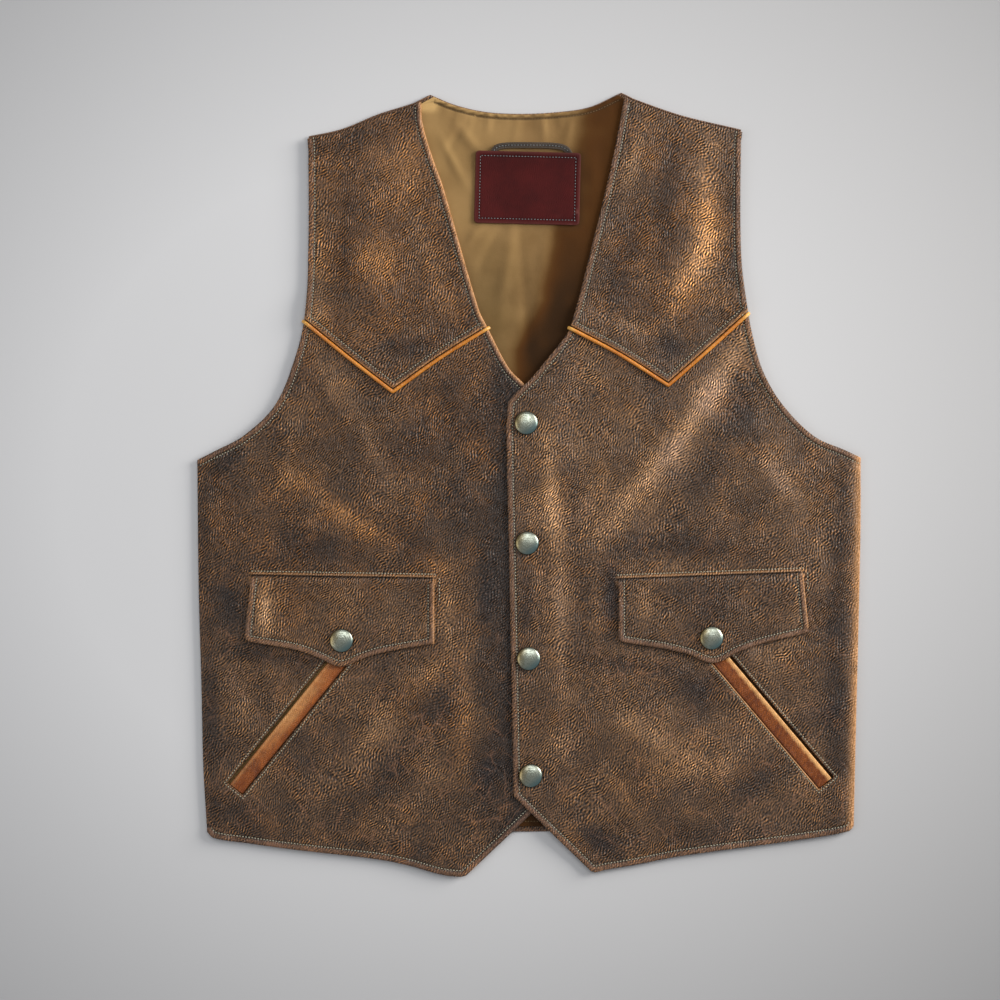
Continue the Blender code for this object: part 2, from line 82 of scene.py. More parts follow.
# Edges of the fronts, each with the leather on its right: (across, along)
FRONT_EDGES = {
    "right": {
        "closing": ((11.0, 70.0), (14.0, 58.0), (14.0, -268.8)),
        "neck": ((-91.8, 325.6), (-90.3, 306.4), (-81.6, 277.0), (-73.0, 253.0), (-42.5, 148.3),
                 (-34.8, 132.6), (-17.0, 99.0), (-3.4, 85.0), (11.0, 70.0)),
        "shoulder": ((-188.5, 294.0), (-158.0, 300.8), (-128.3, 313.0), (-98.0, 322.6), (-91.8, 325.6)),
        "armhole": ((-282.2, 21.0), (-265.0, 29.5), (-242.0, 42.0), (-216.0, 67.5), (-199.5, 106.0),
                    (-190.5, 144.0), (-187.6, 200.0), (-187.6, 284.0), (-188.5, 294.0)),
        "side": ((-273.8, -295.5), (-277.2, -238.0), (-278.6, -175.0), (-281.0, -90.0), (-282.2, 21.0)),
        "hem": ((-53.5, -332.5), (-58.5, -333.6), (-75.6, -331.5), (-101.0, -324.3), (-126.6, -319.0),
                (-203.0, -310.0), (-241.5, -304.7), (-268.5, -300.5), (-273.8, -295.5)),
        "point": ((14.0, -268.8), (-53.5, -332.5)),
    },
    "left": {
        "closing": ((-13.2, -264.8), (-14.7, -183.0), (-17.4, -50.0), (-19.3, 50.0), (-17.8, 70.0)),
        "point": ((52.5, -328.6), (-13.2, -264.8)),
        "hem": ((276.3, -290.0), (272.5, -294.6), (230.4, -302.0), (128.4, -316.0), (90.0, -323.4),
                (64.6, -327.7), (56.5, -329.7), (52.5, -328.6)),
        "side": ((282.2, 23.0), (282.0, -47.0), (278.0, -217.0), (276.3, -290.0)),
        "armhole": ((181.5, 299.6), (180.2, 290.0), (180.2, 200.0), (184.5, 157.0), (192.0, 118.6),
                    (200.5, 93.0), (216.0, 67.5), (242.3, 41.2), (268.6, 29.3), (282.2, 23.0)),
        "shoulder": ((81.2, 330.0), (89.5, 326.0), (130.0, 312.0), (176.3, 301.0), (181.5, 299.6)),
        "neck": ((-17.8, 70.0), (-10.6, 78.6), (2.4, 91.0), (15.3, 106.7), (26.4, 120.3), (35.0, 134.0),
                 (55.3, 211.0), (70.3, 274.0), (81.2, 330.0)),
    },
}

# Edges that carry one run of topstitching, in order round the front
STITCHED_RUNS = {"right": (("hem", "point", "closing", "neck"), ("armhole",)),
                 "left": (("neck", "closing", "point", "hem"), ("armhole",))}

# Back panel and lining
BACK_NECK = ((78.2, 333.6), (52.0, 321.7), (26.4, 317.5), (-7.6, 315.8), (-37.4, 317.5),
             (-62.9, 323.4), (-83.4, 331.7))
BACK_HEM = ((-272.0, -292.5), (0.0, -295.5), (273.5, -289.5))
ARMHOLE_INSET = 1.2
SHOULDER_REACH = 2.2
SHOULDER_ROLL = 1.3
SHOULDER_ROLL_WIDTH = 3.0
LINING_INSETS = {"neck": 0.9, "armhole": 7.0, "side": 12.0, "hem": 4.5, "shoulder": 3.4}
LINING_STITCH = 4.9
LINING_HEM_STITCH = 9.0
# Line past which the lining gets its painted shadow: its places along, and across at each
LINING_PAINTED_SHADOW_EDGE = ((114.4, 156.9, 207.9, 301.4, 318.4), (-14.5, 7.6, 17.9, 41.7, 45.9))

# Yoke seams: the piping's centre line from edge to edge, with its point third
YOKE_SEAMS = {
    "right": ((-190.0, 137.7), (-149.5, 105.0), (-115.8, 79.1), (-76.0, 107.6), (-35.6, 132.7)),
    "left": ((33.8, 133.6), (76.0, 111.4), (118.3, 84.6), (148.6, 111.3), (186.4, 145.5)),
}
YOKE_POINT = 2
PIPING_WIDTH = 3.1
PIPING_HEIGHT = 2.5
PIPING_OFFSET = -0.3
YOKE_EDGE = 2.2
SEAM_ALLOWANCE = 12.0
YOKE_FALL = 18.0

# Pocket flaps, with the leather on the left of each edge
FLAPS = {
    "right": {
        "top": ((-80.4, -79.9), (-236.2, -77.2)),
        "outer": ((-236.2, -77.2), (-239.0, -104.0), (-241.6, -128.0)),
        "bottom": ((-241.6, -128.0), (-240.6, -131.6), (-237.4, -133.6), (-197.4, -140.6), (-178.7, -147.4),
                   (-160.0, -154.7), (-141.0, -148.0), (-125.5, -143.2), (-80.4, -135.2)),
        "inner": ((-80.4, -135.2), (-80.4, -79.9)),
    },
    "left": {
        "top": ((232.6, -74.6), (75.6, -80.6)),
        "inner": ((75.6, -80.6), (75.8, -129.6)),
        "bottom": ((75.8, -129.6), (76.8, -132.6), (79.8, -134.0), (114.2, -139.6), (134.0, -144.2),
                   (156.6, -151.7), (179.8, -141.5), (199.2, -135.0), (232.6, -126.8), (236.2, -125.0),
                   (237.2, -121.0)),
        "outer": ((237.2, -121.0), (232.6, -74.6)),
    },
}
FLAP_LIFT = 0.9
FLAP_RIDGE = 1.7
FLAP_ROW_ABOVE = 3.7
FLAP_RUN_ON = 8.0
FLAP_CREASES = (-6.6, -5.5, -4.7, -4.2, -3.7, -3.2, -2.7, -2.2, -1.7, -1.2, -0.7, -0.2, 0.6, 1.6)
FLAP_BARS = {"right": ((-76.2, -80.5), (-76.2, -98.5)), "left": ((236.6, -75.5), (236.9, -89.5))}

# Slanting pockets: middle of the window's lower end, and the way that it runs
POCKETS = {
    "right": {"low": (-249.7, -258.7), "run": (0.627, 0.779), "outward": (-0.779, 0.627)},
    "left": {"low": (252.7, -253.7), "run": (-0.645, 0.764), "outward": (0.764, 0.645)},
}
WINDOW_LENGTH = 158.0
WINDOW_WIDTH = 16.4
POCKET_MOUTH = 2.2
WINDOW_STITCH = 2.1

# Snap caps
FRONT_SNAPS = ((-2.4, 52.3), (-1.6, -49.7), (-0.4, -147.8), (1.4, -247.1))
FLAP_SNAPS = {"right": (-159.2, -132.4), "left": (154.9, -130.3)}
SNAP_RADIUS = 10.0
SNAP_RIM = 0.9
SNAP_HEIGHT = 3.6
SNAP_SIDES = 56

# Label and hanging loop inside the back neck
LABEL_CENTRE = (-1.3, 252.2)
LABEL_SIZE = (89.5, 61.5)
LABEL_CORNER = 3.0
LABEL_TURN = -1.4
LABEL_STITCH = 4.2
LABEL_LIFT = 0.8
LOOP_PATH = ((-31.5, 278.0), (-30.5, 282.0), (-27.8, 286.2), (-21.0, 288.1), (1.0, 288.5), (24.0, 287.7),
             (31.2, 285.4), (34.6, 281.0), (35.6, 277.0))
LOOP_WIDTH = 5.2
LOOP_WALL = 0.8

# The left front lies on the right one up to a line, and falls beyond its hidden edge
LAP_FLAT_TO = 18.0
LAP_FALLEN_AT = 48.0
FLAT_BORDER = 8.0
FOLD_REACH = 34.0
SIDE_ROLL = 12.0

# Largest folds: (across, along, half length, half width, turn from +X in degrees, height)
LARGE_FOLDS = {
    "right": (
        (-150.0, -10.0, 95.0, 42.0, 68.0, 2.4),
        (-232.0, 8.0, 50.0, 15.0, 55.0, -1.6),
        (-105.0, -215.0, 80.0, 34.0, 40.0, 2.2),
        (-215.0, -200.0, 60.0, 22.0, 52.0, 1.5),
        (-140.0, 200.0, 90.0, 30.0, 82.0, 1.8),
    ),
    "left": (
        (107.0, 22.0, 75.0, 24.0, 52.0, 2.6),
        (205.0, -20.0, 80.0, 34.0, 105.0, 2.2),
        (120.0, -225.0, 75.0, 36.0, -35.0, 2.4),
        (52.0, -150.0, 90.0, 20.0, 84.0, 1.6),
        (128.0, 205.0, 85.0, 26.0, 98.0, 1.9),
    ),
}

# Soft bands on the leather, placed in the photograph's pixels: (across, down, half length,
# half width, turn, tone, warmth, rise). A light band is paler and its flank faces the window;
# its tone and warmth are partly the leather's own and partly painted light and shade on the folds.
BANDS = {
    "right": (
        (405, 165, 34, 20, 80, 0.45, 0.5, 0.6), (432, 262, 48, 13, 108, 0.35, -0.2, 0.8),
        (378, 262, 26, 20, 90, 0.5, 0.2, 0.5), (345, 250, 65, 10, 86, -0.45, 0.0, -0.9),
        (318, 262, 55, 8, 88, 0.35, -0.4, 0.5), (400, 345, 20, 12, 0, -0.9, -0.6, -0.4),
        (452, 330, 34, 11, 28, -0.5, 0.3, -0.5), (352, 138, 34, 9, 15, -0.4, 0.3, 0.0),
        (424, 112, 22, 14, 100, -0.6, 0.0, -0.6), (316, 316, 12, 10, 45, 0.5, -0.8, 0.3),
        (288, 485, 34, 15, 25, 0.5, 0.3, 0.8), (345, 515, 38, 10, -36, 0.75, 0.6, 1.0),
        (312, 546, 36, 14, -5, -0.65, 0.0, -0.8), (367, 432, 58, 9, -67, 0.4, -0.3, 0.8),
        (330, 385, 40, 9, -59, 0.3, -0.2, 0.6), (292, 440, 40, 11, 80, 0.3, -0.3, 0.5),
        (222, 468, 45, 12, 50, -0.55, -0.1, -1.2), (244, 440, 30, 8, 35, 0.3, -0.3, 0.5),
        (455, 505, 60, 22, 85, -0.45, -0.4, -0.5), (440, 410, 40, 30, 60, -0.3, 0.2, 0.0),
        (447, 600, 48, 13, 92, 0.6, -0.3, 1.2), (462, 715, 60, 12, 88, 0.5, 0.3, 1.2),
        (484, 600, 60, 10, 90, -0.5, -0.8, -0.8), (230, 600, 34, 16, 88, -0.75, -0.2, -1.0),
        (275, 656, 45, 9, -8, -0.6, 0.0, -0.6), (240, 690, 36, 14, -62, 0.45, -0.6, 0.9),
        (385, 718, 58, 12, 55, 0.5, 0.0, 1.1), (432, 712, 26, 13, 35, -0.65, 0.0, -0.9),
        (435, 668, 24, 10, 50, 0.4, 0.6, 0.5), (486, 772, 34, 13, 80, -0.7, -0.8, -0.7),
        (392, 770, 42, 13, 50, -0.35, 0.0, -0.7), (300, 770, 30, 24, 60, -0.2, -0.2, 0.0),
        (238, 812, 30, 14, -40, -0.45, 0.0, -0.6), (395, 848, 70, 9, -8, -0.4, 0.0, 0.0),
        (484, 832, 30, 7, 38, 0.4, -0.2, 0.3), (210, 700, 90, 8, 92, -0.4, 0.2, -0.5),
        (436, 565, 16, 9, -20, 0.5, 0.5, 0.3),
    ),
    "left": (
        (707, 205, 58, 15, 88, 1.0, 0.5, 1.4), (690, 272, 40, 15, 64, 0.8, 0.3, 1.0),
        (668, 195, 60, 13, 86, -0.55, 0.4, -1.0), (624, 262, 50, 15, 72, -0.6, 0.5, -0.7),
        (634, 155, 44, 9, 75, 0.45, -0.5, 0.7), (668, 345, 16, 12, 0, -0.9, -0.7, -0.3),
        (736, 215, 60, 7, 88, -0.4, 0.0, -0.5), (636, 328, 24, 10, -25, 0.45, -0.4, 0.3),
        (725, 300, 24, 10, 50, 0.3, -0.3, 0.4),
        (718, 380, 52, 13, 57, 1.0, -0.2, 1.8), (648, 478, 84, 15, 51, 0.9, -0.25, 2.0),
        (705, 470, 75, 16, 60, -0.45, 0.1, -1.4), (552, 498, 58, 10, -85, 0.85, 0.5, 1.3),
        (560, 620, 62, 8, 92, 0.45, -0.6, 1.0), (583, 590, 45, 10, 90, -0.5, -0.1, -0.9),
        (611, 598, 34, 8, 88, -1.0, -0.9, -0.8), (526, 600, 50, 8, 90, -0.5, -0.1, -0.6),
        (690, 548, 70, 12, -3, -0.55, -0.1, -0.6), (778, 478, 34, 10, -47, 0.5, -0.8, 1.0),
        (750, 425, 55, 12, -76, -0.35, -0.2, -0.7), (838, 570, 120, 11, 88, -0.6, 0.0, -0.6),
        (836, 720, 80, 12, 90, -0.6, 0.0, -0.5), (625, 664, 42, 8, -8, -0.5, 0.0, -0.6),
        (697, 690, 30, 20, 0, -0.6, -0.1, -0.5), (655, 738, 44, 13, -33, 0.5, -0.1, 1.0),
        (727, 768, 22, 12, 60, 0.4, -0.3, 0.6), (628, 802, 38, 9, -58, 0.4, 0.4, 0.7),
        (550, 745, 26, 22, 90, 0.2, 0.4, 0.0), (592, 722, 20, 14, -30, -0.3, 0.0, -0.3),
        (570, 812, 24, 12, -45, -0.45, -0.2, -0.5), (604, 845, 30, 12, -40, -0.6, -0.5, -0.4),
        (765, 775, 44, 16, 45, -0.45, -0.2, -0.7), (740, 832, 60, 9, 5, -0.35, -0.2, 0.0),
        (752, 650, 26, 10, -60, 0.3, -0.4, 0.5), (600, 430, 40, 26, 60, 0.15, 0.3, 0.0),
        (575, 500, 40, 8, 88, -0.2, 0.0, -0.4),
    ),
}
FLAP_BANDS = {
    "right": (
        (266, 610, 34, 8, 88, 0.8, -0.3, 0.9), (292, 612, 30, 6, 88, -0.2, 0.0, -0.4),
        (340, 600, 50, 18, 0, 0.15, 0.3, 0.0), (412, 605, 26, 14, 90, -0.35, 0.0, -0.4),
    ),
    "left": (
        (645, 600, 28, 9, 88, 0.5, 0.3, 0.5), (797, 600, 28, 6, 86, 0.5, -0.2, 0.4),
        (760, 600, 30, 18, 90, -0.15, 0.0, 0.0), (700, 590, 40, 12, 0, -0.2, 0.4, 0.0),
    ),
}
FLAP_TONE = {"right": 0.2, "left": -0.16}
BAND_TONE = 1.1
BAND_RISE = 0.8
WINDOW_SIDE = 20.0
# Reach of the painted shadow that the left front's edge casts on the right front
PLACKET_PAINTED_SHADOW_REACH = 17.0
LAP_EDGE = ((-270.0, -183.0, -50.0, 50.0, 70.0), (-13.2, -14.7, -17.4, -19.3, -17.8))
LINING_FOLDS = (
    (-52.0, 294.0, 18.0, 5.0, 128.0, 1.1),
    (-66.0, 276.0, 20.0, 4.0, 118.0, 0.9),
    (-62.0, 296.0, 16.0, 4.0, 60.0, -0.7),
    (-52.0, 208.0, 24.0, 4.0, 48.0, 0.9),
    (-20.0, 180.0, 44.0, 6.0, 82.0, 1.0),
    (-4.0, 160.0, 50.0, 5.0, 94.0, -0.7),
    (10.0, 168.0, 48.0, 6.0, 84.0, 1.0),
    (-34.0, 200.0, 26.0, 5.0, 62.0, -0.7),
    (56.0, 262.0, 34.0, 7.0, 100.0, 0.8),
    (34.0, 302.0, 16.0, 4.0, 76.0, 0.6),
    (12.0, 304.0, 15.0, 4.0, 92.0, 0.6),
    (-12.0, 304.0, 15.0, 4.0, 84.0, 0.5),
)

# Photograph's framing: metres for each of its 1000 pixels, and the pixel over the origin
PIXEL = 0.85 * MM
FRAME_PIXELS = 1000
ORIGIN_PIXEL = (529.0, 484.55)
LENS = 85.0
SENSOR = 36.0


# Lines on the flat panels

def smooth(knots, step=EDGE_STEP):
    """A smooth line through the knots, with a point about every step."""
    knots = [Vector(knot) for knot in knots]
    heads = [(knots[min(i + 1, len(knots) - 1)] - knots[max(i - 1, 0)]).normalized()
             for i in range(len(knots))]
    line = []
    for i in range(len(knots) - 1):
        reach = (knots[i + 1] - knots[i]).length
        pieces = max(1, round(reach / step))
        first_handle = knots[i] + heads[i] * reach / 3
        last_handle = knots[i + 1] - heads[i + 1] * reach / 3
        line += interpolate_bezier(knots[i], first_handle, last_handle, knots[i + 1], pieces + 1)[:-1]
    return line + [knots[-1]]


def pointed(knots, corner):
    """A smooth line on each side of one sharp corner."""
    return smooth(knots[:corner + 1])[:-1] + smooth(knots[corner:])


def straight(start, end, step=EDGE_STEP):
    start, end = Vector(start), Vector(end)
    pieces = max(1, round((end - start).length / step))
    return [start.lerp(end, i / pieces) for i in range(pieces + 1)]


def chain(*edges):
    """One closed loop from edges that follow each other end to end."""
    return [point for edge in edges for point in edge[:-1]]


def run_of(*edges):
    """One open line from edges that follow each other end to end."""
    return chain(*edges) + [edges[-1][-1]]


def extended(line, reach=RUN_ON):
    before = line[0] + (line[0] - line[1]).normalized() * reach
    after = line[-1] + (line[-1] - line[-2]).normalized() * reach
    return [before, *line, after]


def shifted(line, reach, closed=False):
    """The line moved to its left by reach, with mitred corners."""
    moved = []
    count = len(line)
    for i, point in enumerate(line):
        before = (point - line[i - 1]).normalized() if i or closed else None
        after = (line[(i + 1) % count] - point).normalized() if i < count - 1 or closed else None
        before = before or after
        after = after or before
        normal = Vector((-before.y - after.y, before.x + after.x)).normalized()
        squeeze = max(0.45, normal.dot(Vector((-after.y, after.x))))
        moved.append(point + normal * reach / squeeze)
    if closed:
        return moved
    clear = Line(line).measure(as_array(moved))[0] > abs(reach) * 0.97
    return [point for point, kept in zip(moved, clear) if kept]


def meet(first, second):
    """Two edges cut back, or run on, to the point where they cross."""
    run_on = extended(first)[1:]
    run_up = extended(second)[:-1]
    for i, (a, b) in enumerate(zip(run_on, run_on[1:])):
        for j, (c, d) in enumerate(zip(run_up, run_up[1:])):
            corner = intersect_line_line_2d(a, b, c, d)
            if corner is not None:
                return run_on[:i + 1] + [corner], [corner] + run_up[j + 1:]
    raise ValueError("two edges of a piece don't meet")


def met_loop(edges):
    """One loop from edges that cross or nearly meet."""
    edges = list(edges)
    for i in range(len(edges)):
        j = (i + 1) % len(edges)
        edges[i], edges[j] = meet(edges[i], edges[j])
    return spaced(chain(*edges), EDGE_STEP * 0.3)


def spaced(loop, least):
    """A closed loop without points that crowd each other or a sharp corner."""
    turns = [(loop[i] - loop[i - 1]).angle(loop[(i + 1) % len(loop)] - loop[i], 0.0)
             for i in range(len(loop))]
    corners = [point for point, turn in zip(loop, turns) if turn > SHARP_TURN]
    kept = []
    for point, turn in zip(loop, turns):
        near = kept[-1:] + kept[:1] + ([] if turn > SHARP_TURN else corners)
        room = least if turn > SHARP_TURN else CORNER_ROOM
        if all((point - other).length > (least if other in kept else room) for other in near):
            kept.append(point)
    return kept


def as_array(points):
    return np.array([(p[0], p[1]) for p in points], float)


class Line:
    """A line on the flat panels, with the distance to it and the place along it."""

    def __init__(self, points, closed=False):
        points = as_array(points)
        if closed:
            points = np.vstack([points, points[:1]])
        self.points = points
        self.start = points[:-1]
        self.run = np.diff(points, axis=0)
        self.reach = np.hypot(self.run[:, 0], self.run[:, 1])
        self.along = np.concatenate([[0.0], np.cumsum(self.reach)])[:-1]

    def measure(self, spots):
        """Distance to the line, and how far along it the nearest point is, for each spot."""
        far, place = np.empty(len(spots)), np.empty(len(spots))
        for first in range(0, len(spots), CHUNK):
            some = spots[first:first + CHUNK]
            away = some[:, None, :] - self.start[None]
            share = np.clip((away * self.run).sum(2) / self.reach ** 2, 0, 1)
            gap = np.hypot(*(away - share[..., None] * self.run).transpose(2, 0, 1))
            rows, nearest = np.arange(len(some)), gap.argmin(1)
            far[first:first + CHUNK] = gap[rows, nearest]
            place[first:first + CHUNK] = (self.along[nearest]
                                          + share[rows, nearest] * self.reach[nearest])
        return far, place

    def inside(self, spots):
        """Whether each spot lies inside the line, which is closed."""
        hit = np.zeros(len(spots), bool)
        x, y = spots[:, 0], spots[:, 1]
        for (ax, ay), (bx, by) in zip(self.points, self.points[1:]):
            if ay != by:
                crosses = ((ay > y) != (by > y)) & (x < ax + (bx - ax) * (y - ay) / (by - ay))
                hit ^= crosses
        return hit

    def above(self, spots):
        """Whether each spot lies on the neck's side of the line, which runs across."""
        order = np.argsort(self.points[:, 0])
        return spots[:, 1] > np.interp(spots[:, 0], self.points[order, 0], self.points[order, 1])


# Smooth shapes over the flat panels

def ease(value):
    value = np.clip(value, 0.0, 1.0)
    return value * value * (3 - 2 * value)


def lattice(ix, iy, seed):
    """A fixed number from -1 to 1 for each corner of a square grid."""
    value = np.sin(ix * 127.1 + iy * 311.7 + seed * 74.7) * 43758.5453
    return 2 * (value - np.floor(value)) - 1


def noise(spots, size, seed=0):
    """Soft lumps of about that size, from -1 to 1."""
    grid = spots / size
    cell = np.floor(grid)
    part = grid - cell
    part = part * part * (3 - 2 * part)
    ix, iy = cell[:, 0], cell[:, 1]
    low = lattice(ix, iy, seed) * (1 - part[:, 0]) + lattice(ix + 1, iy, seed) * part[:, 0]
    high = lattice(ix, iy + 1, seed) * (1 - part[:, 0]) + lattice(ix + 1, iy + 1, seed) * part[:, 0]
    return low * (1 - part[:, 1]) + high * part[:, 1]


def bump_share(spots, across, along, half_length, half_width, turn):
    """A soft oval hump of height 1, long along its turn."""
    away = spots - np.array((across, along))
    run = np.array((math.cos(math.radians(turn)), math.sin(math.radians(turn))))
    lengthwise = away @ run / half_length
    sideways = (away[:, 0] * run[1] - away[:, 1] * run[0]) / half_width
    return np.exp(-lengthwise ** 2 - sideways ** 2)


def folds_over(folds, spots):
    total = np.zeros(len(spots))
    for *shape, height in folds:
        total += height * bump_share(spots, *shape)
    return total


def photo_place(across, down):
    """Millimetres on the flat panels from the photograph's pixels."""
    return ((across - ORIGIN_PIXEL[0]) * PIXEL / MM, (ORIGIN_PIXEL[1] - down) * PIXEL / MM)


class Bands:
    """Soft bands over the leather: their tone and their warmth, partly painted light and shade, and the rise
    of their flanks.
    """

    def __init__(self, rows):
        self.rows = rows

    def shares(self, spots):
        """Each band's share at each spot, and how far the spot is across it to the window's side."""
        scale = PIXEL / MM
        light = np.array((math.cos(math.radians(WINDOW_SIDE)), math.sin(math.radians(WINDOW_SIDE))))
        for across, down, half_length, half_width, turn, *rest in self.rows:
            centre = photo_place(across, down)
            share = bump_share(spots, *centre, half_length * scale, half_width * scale, turn)
            side = np.array((math.sin(math.radians(turn)), -math.cos(math.radians(turn))))
            if side @ light < 0:
                side = -side
            yield share, (spots - np.array(centre)) @ side / (half_width * scale), rest

    # Tone and warmth of the bands: partly the leather's own, partly painted light and shade on the folds
    def tone(self, spots):
        return BAND_TONE * sum(share * rest[0] for share, _, rest in self.shares(spots))

    def warmth(self, spots):
        return sum(share * rest[1] for share, _, rest in self.shares(spots))

    def height(self, spots):
        return BAND_RISE * sum(-share * beside * rest[2] for share, beside, rest in self.shares(spots))


def stitched_relief(far, place, inset, seed, bead_height=BEAD_HEIGHT):
    """Height beside a topstitched edge: its turned bead, the stitches' groove, the puckers."""
    share = np.clip(far / inset, 0, 1)
    line = np.column_stack([place, np.full(len(place), seed * 17.3)])
    ripple = noise(line, 5.5, seed) + 0.6 * noise(line, 2.9, seed + 3)
    bead = bead_height * np.sin(np.pi * share) ** 0.7 * (1 + 0.16 * ripple)
    groove = -GROOVE_DEPTH * np.exp(-((far - inset) / GROOVE_WIDTH) ** 2)
    return bead + groove + PUCKER_HEIGHT * ripple * np.exp(-((far - inset) / PUCKER_REACH) ** 2)


class Front:
    """The form of one front: its edges, its seams and the height of its leather."""

    def __init__(self, side):
        self.side = side
        self.bands = Bands(BANDS[side])
        self.flap_bands = Bands(FLAP_BANDS[side])
        self.edges = {name: smooth(knots)[::-1] for name, knots in FRONT_EDGES[side].items()}
        self.loop = chain(*self.edges.values())
        self.outline = Line(self.loop, closed=True)
        self.side_line = Line(self.edges["side"])
        self.runs = [run_of(*(self.edges[name] for name in names)) for names in STITCHED_RUNS[side]]
        self.hems = [Line(run) for run in self.runs]
        self.seam = extended(pointed(YOKE_SEAMS[side], YOKE_POINT))
        self.yoke_edge = shifted(self.seam, YOKE_EDGE)
        self.yoke_line = Line(self.yoke_edge)
        self.lap_edge = shifted(self.seam, SEAM_ALLOWANCE)
        self.lap_line = Line(self.lap_edge)
        self.window = self.pocket_loop(WINDOW_WIDTH, 0.0, 0.0)
        self.window_line = Line(self.window, closed=True)
        _, out = self.pocket_places(as_array(self.window))
        inner_side = 0.5 - WINDOW_WIDTH / 2
        self.inner_window = [point for point, beside in zip(self.window, out) if beside < inner_side]
        flap = FLAPS[side]
        self.flap_edges = {name: smooth(knots) for name, knots in flap.items()}
        self.flap_top = Line(self.flap_edges["top"])
        self.flap_loop = chain(*self.flap_edges.values())
        self.flap_line = Line(self.flap_loop, closed=True)

    def pocket_loop(self, width, shift, short):
        """Loop along the pocket, clockwise: the window, or the welt where it is narrower."""
        place = POCKETS[self.side]
        run, outward = Vector(place["run"]).normalized(), Vector(place["outward"]).normalized()
        low = Vector(place["low"]) + run * short - outward * shift
        high = low + run * (WINDOW_LENGTH - 2 * short)
        half = outward * width / 2
        corners = [low + half, high + half, high - half, low - half]
        loop = chain(*(straight(a, b) for a, b in zip(corners, corners[1:] + corners[:1])))
        return loop if self.side == "right" else loop[::-1]

    def pocket_places(self, spots):
        """How far each spot is along the pocket and out from its middle."""
        place = POCKETS[self.side]
        away = spots - np.array(place["low"])
        return away @ np.array(place["run"]), away @ np.array(place["outward"])

    def lit_edges(self, kind):
        """Painted highlights: pale lines on edges that face the window, as (line, distance, half width,
        strength).
        """
        if kind == "flap":
            return [(Line(self.flap_edges["inner" if self.side == "right" else "outer"]), 0.0, 1.1, 0.7)]
        edges = [(self.yoke_line, 0.0, 1.0, 0.75)] if kind == "yoke" else [(self.flap_top, 1.9, 0.6, 0.4)]
        if self.side == "right":
            edges.append((Line(self.edges["neck"]), 0.3, 1.5, 0.85))
        elif kind == "front":
            edges.append((self.side_line, 0.0, 4.4, 0.8))
            edges.append((Line(self.inner_window), 0.0, 0.9, 0.8))
        return edges

    # Painted highlights where edges face the window
    def mark_painted_highlights(self, shell, kind):
        rim = np.zeros(len(shell.spots))
        for line, middle, reach, strength in self.lit_edges(kind):
            far, place = line.measure(shell.spots)
            uneven = 0.8 + 0.3 * noise(np.column_stack([place, np.full(len(place), 3.0)]), 7.0, 81)
            rim = np.maximum(rim, strength * uneven * np.exp(-((far - middle) / reach) ** 2))
        shell.mark("rim", np.clip(rim, 0, 1))

    def ground(self, spots):
        """Top of the leather before its seams: the layers' level, the folds and the creases."""
        far, _ = self.outline.measure(spots)
        free = ease((far - FLAT_BORDER) / FOLD_REACH)
        near = ease((far - 2.0) / 14.0)
        height = free * folds_over(LARGE_FOLDS[self.side], spots)
        height += near * self.bands.height(spots)
        seed = 11 if self.side == "right" else 29
        height += near * (0.55 * noise(spots, 42.0, seed) + 0.22 * noise(spots, 17.0, seed + 1))
        height -= SIDE_DROP * ease(1 - self.side_line.measure(spots)[0] / SIDE_ROLL)
        if self.side == "left":
            height += LAP * ease((LAP_FALLEN_AT - spots[:, 0]) / (LAP_FALLEN_AT - LAP_FLAT_TO))
            for centre in FRONT_SNAPS:
                height += self.snap_dimple(spots, centre)
        return FRONT_TOP + height

    def snap_dimple(self, spots, centre):
        reach = np.hypot(*(spots - np.array(centre)).T)
        return -0.45 * np.exp(-((reach - SNAP_RADIUS * 0.9) / 4.0) ** 2)

    def hem_relief(self, spots):
        height = np.zeros(len(spots))
        for number, hem in enumerate(self.hems):
            far, place = hem.measure(spots)
            close = far < 3 * STITCH_INSET
            height[close] += stitched_relief(far[close], place[close], STITCH_INSET, 5 + number)
        return height

    def top(self, spots):
        """Top of the lower front."""
        height = self.ground(spots) + self.hem_relief(spots)
        far, place = self.window_line.measure(spots)
        close = far < 3 * WINDOW_STITCH
        height[close] += 0.7 * stitched_relief(far[close], place[close], WINDOW_STITCH, 9, 0.25)
        far, place = self.flap_top.measure(spots)
        over = spots[:, 1] > self.flap_top.points[:, 1].mean() - 6.0
        over &= ~self.flap_line.inside(spots)
        ends = self.flap_top.points[:, 0]
        within = ease((spots[:, 0] - ends.min()) / 3.0 + 0.2) * ease((ends.max() - spots[:, 0]) / 3.0 + 0.2)
        height += over * within * FLAP_RIDGE * np.exp(-((far - 1.2) / 1.5) ** 2)
        height += over * -0.45 * np.exp(-((far - FLAP_ROW_ABOVE) / GROOVE_WIDTH) ** 2)
        return height

    def yoke_top(self, spots):
        past, _ = self.lap_line.measure(spots)
        past[~self.lap_line.above(spots)] = 0.0
        height = self.ground(spots) + self.hem_relief(spots) + LAP * ease(1 - past / YOKE_FALL)
        far, place = self.yoke_line.measure(spots)
        close = far < 3 * YOKE_STITCH_INSET
        height[close] += 0.8 * stitched_relief(far[close], place[close], YOKE_STITCH_INSET, 7)
        return height

    def flap_surface(self, spots):
        """Top of the flap: on the front along its top edge, lifted towards its lower edge."""
        below = np.clip(-(spots[:, 1] - self.flap_top.points[:, 1].mean()), 0, 80.0)
        height = self.ground(spots) + LAP + FLAP_LIFT * ease(below / 60.0)
        height -= 1.3 * np.exp(-(below / 3.0) ** 2)
        far, place = self.flap_line.measure(spots)
        top_far, _ = self.flap_top.measure(spots)
        sides = np.where(top_far < far + 0.05, 9 * STITCH_INSET, far)
        close = sides < 3 * STITCH_INSET
        height[close] += stitched_relief(sides[close], place[close], STITCH_INSET, 13)
        height += self.snap_dimple(spots, FLAP_SNAPS[self.side]) + self.flap_bands.height(spots)
        return height

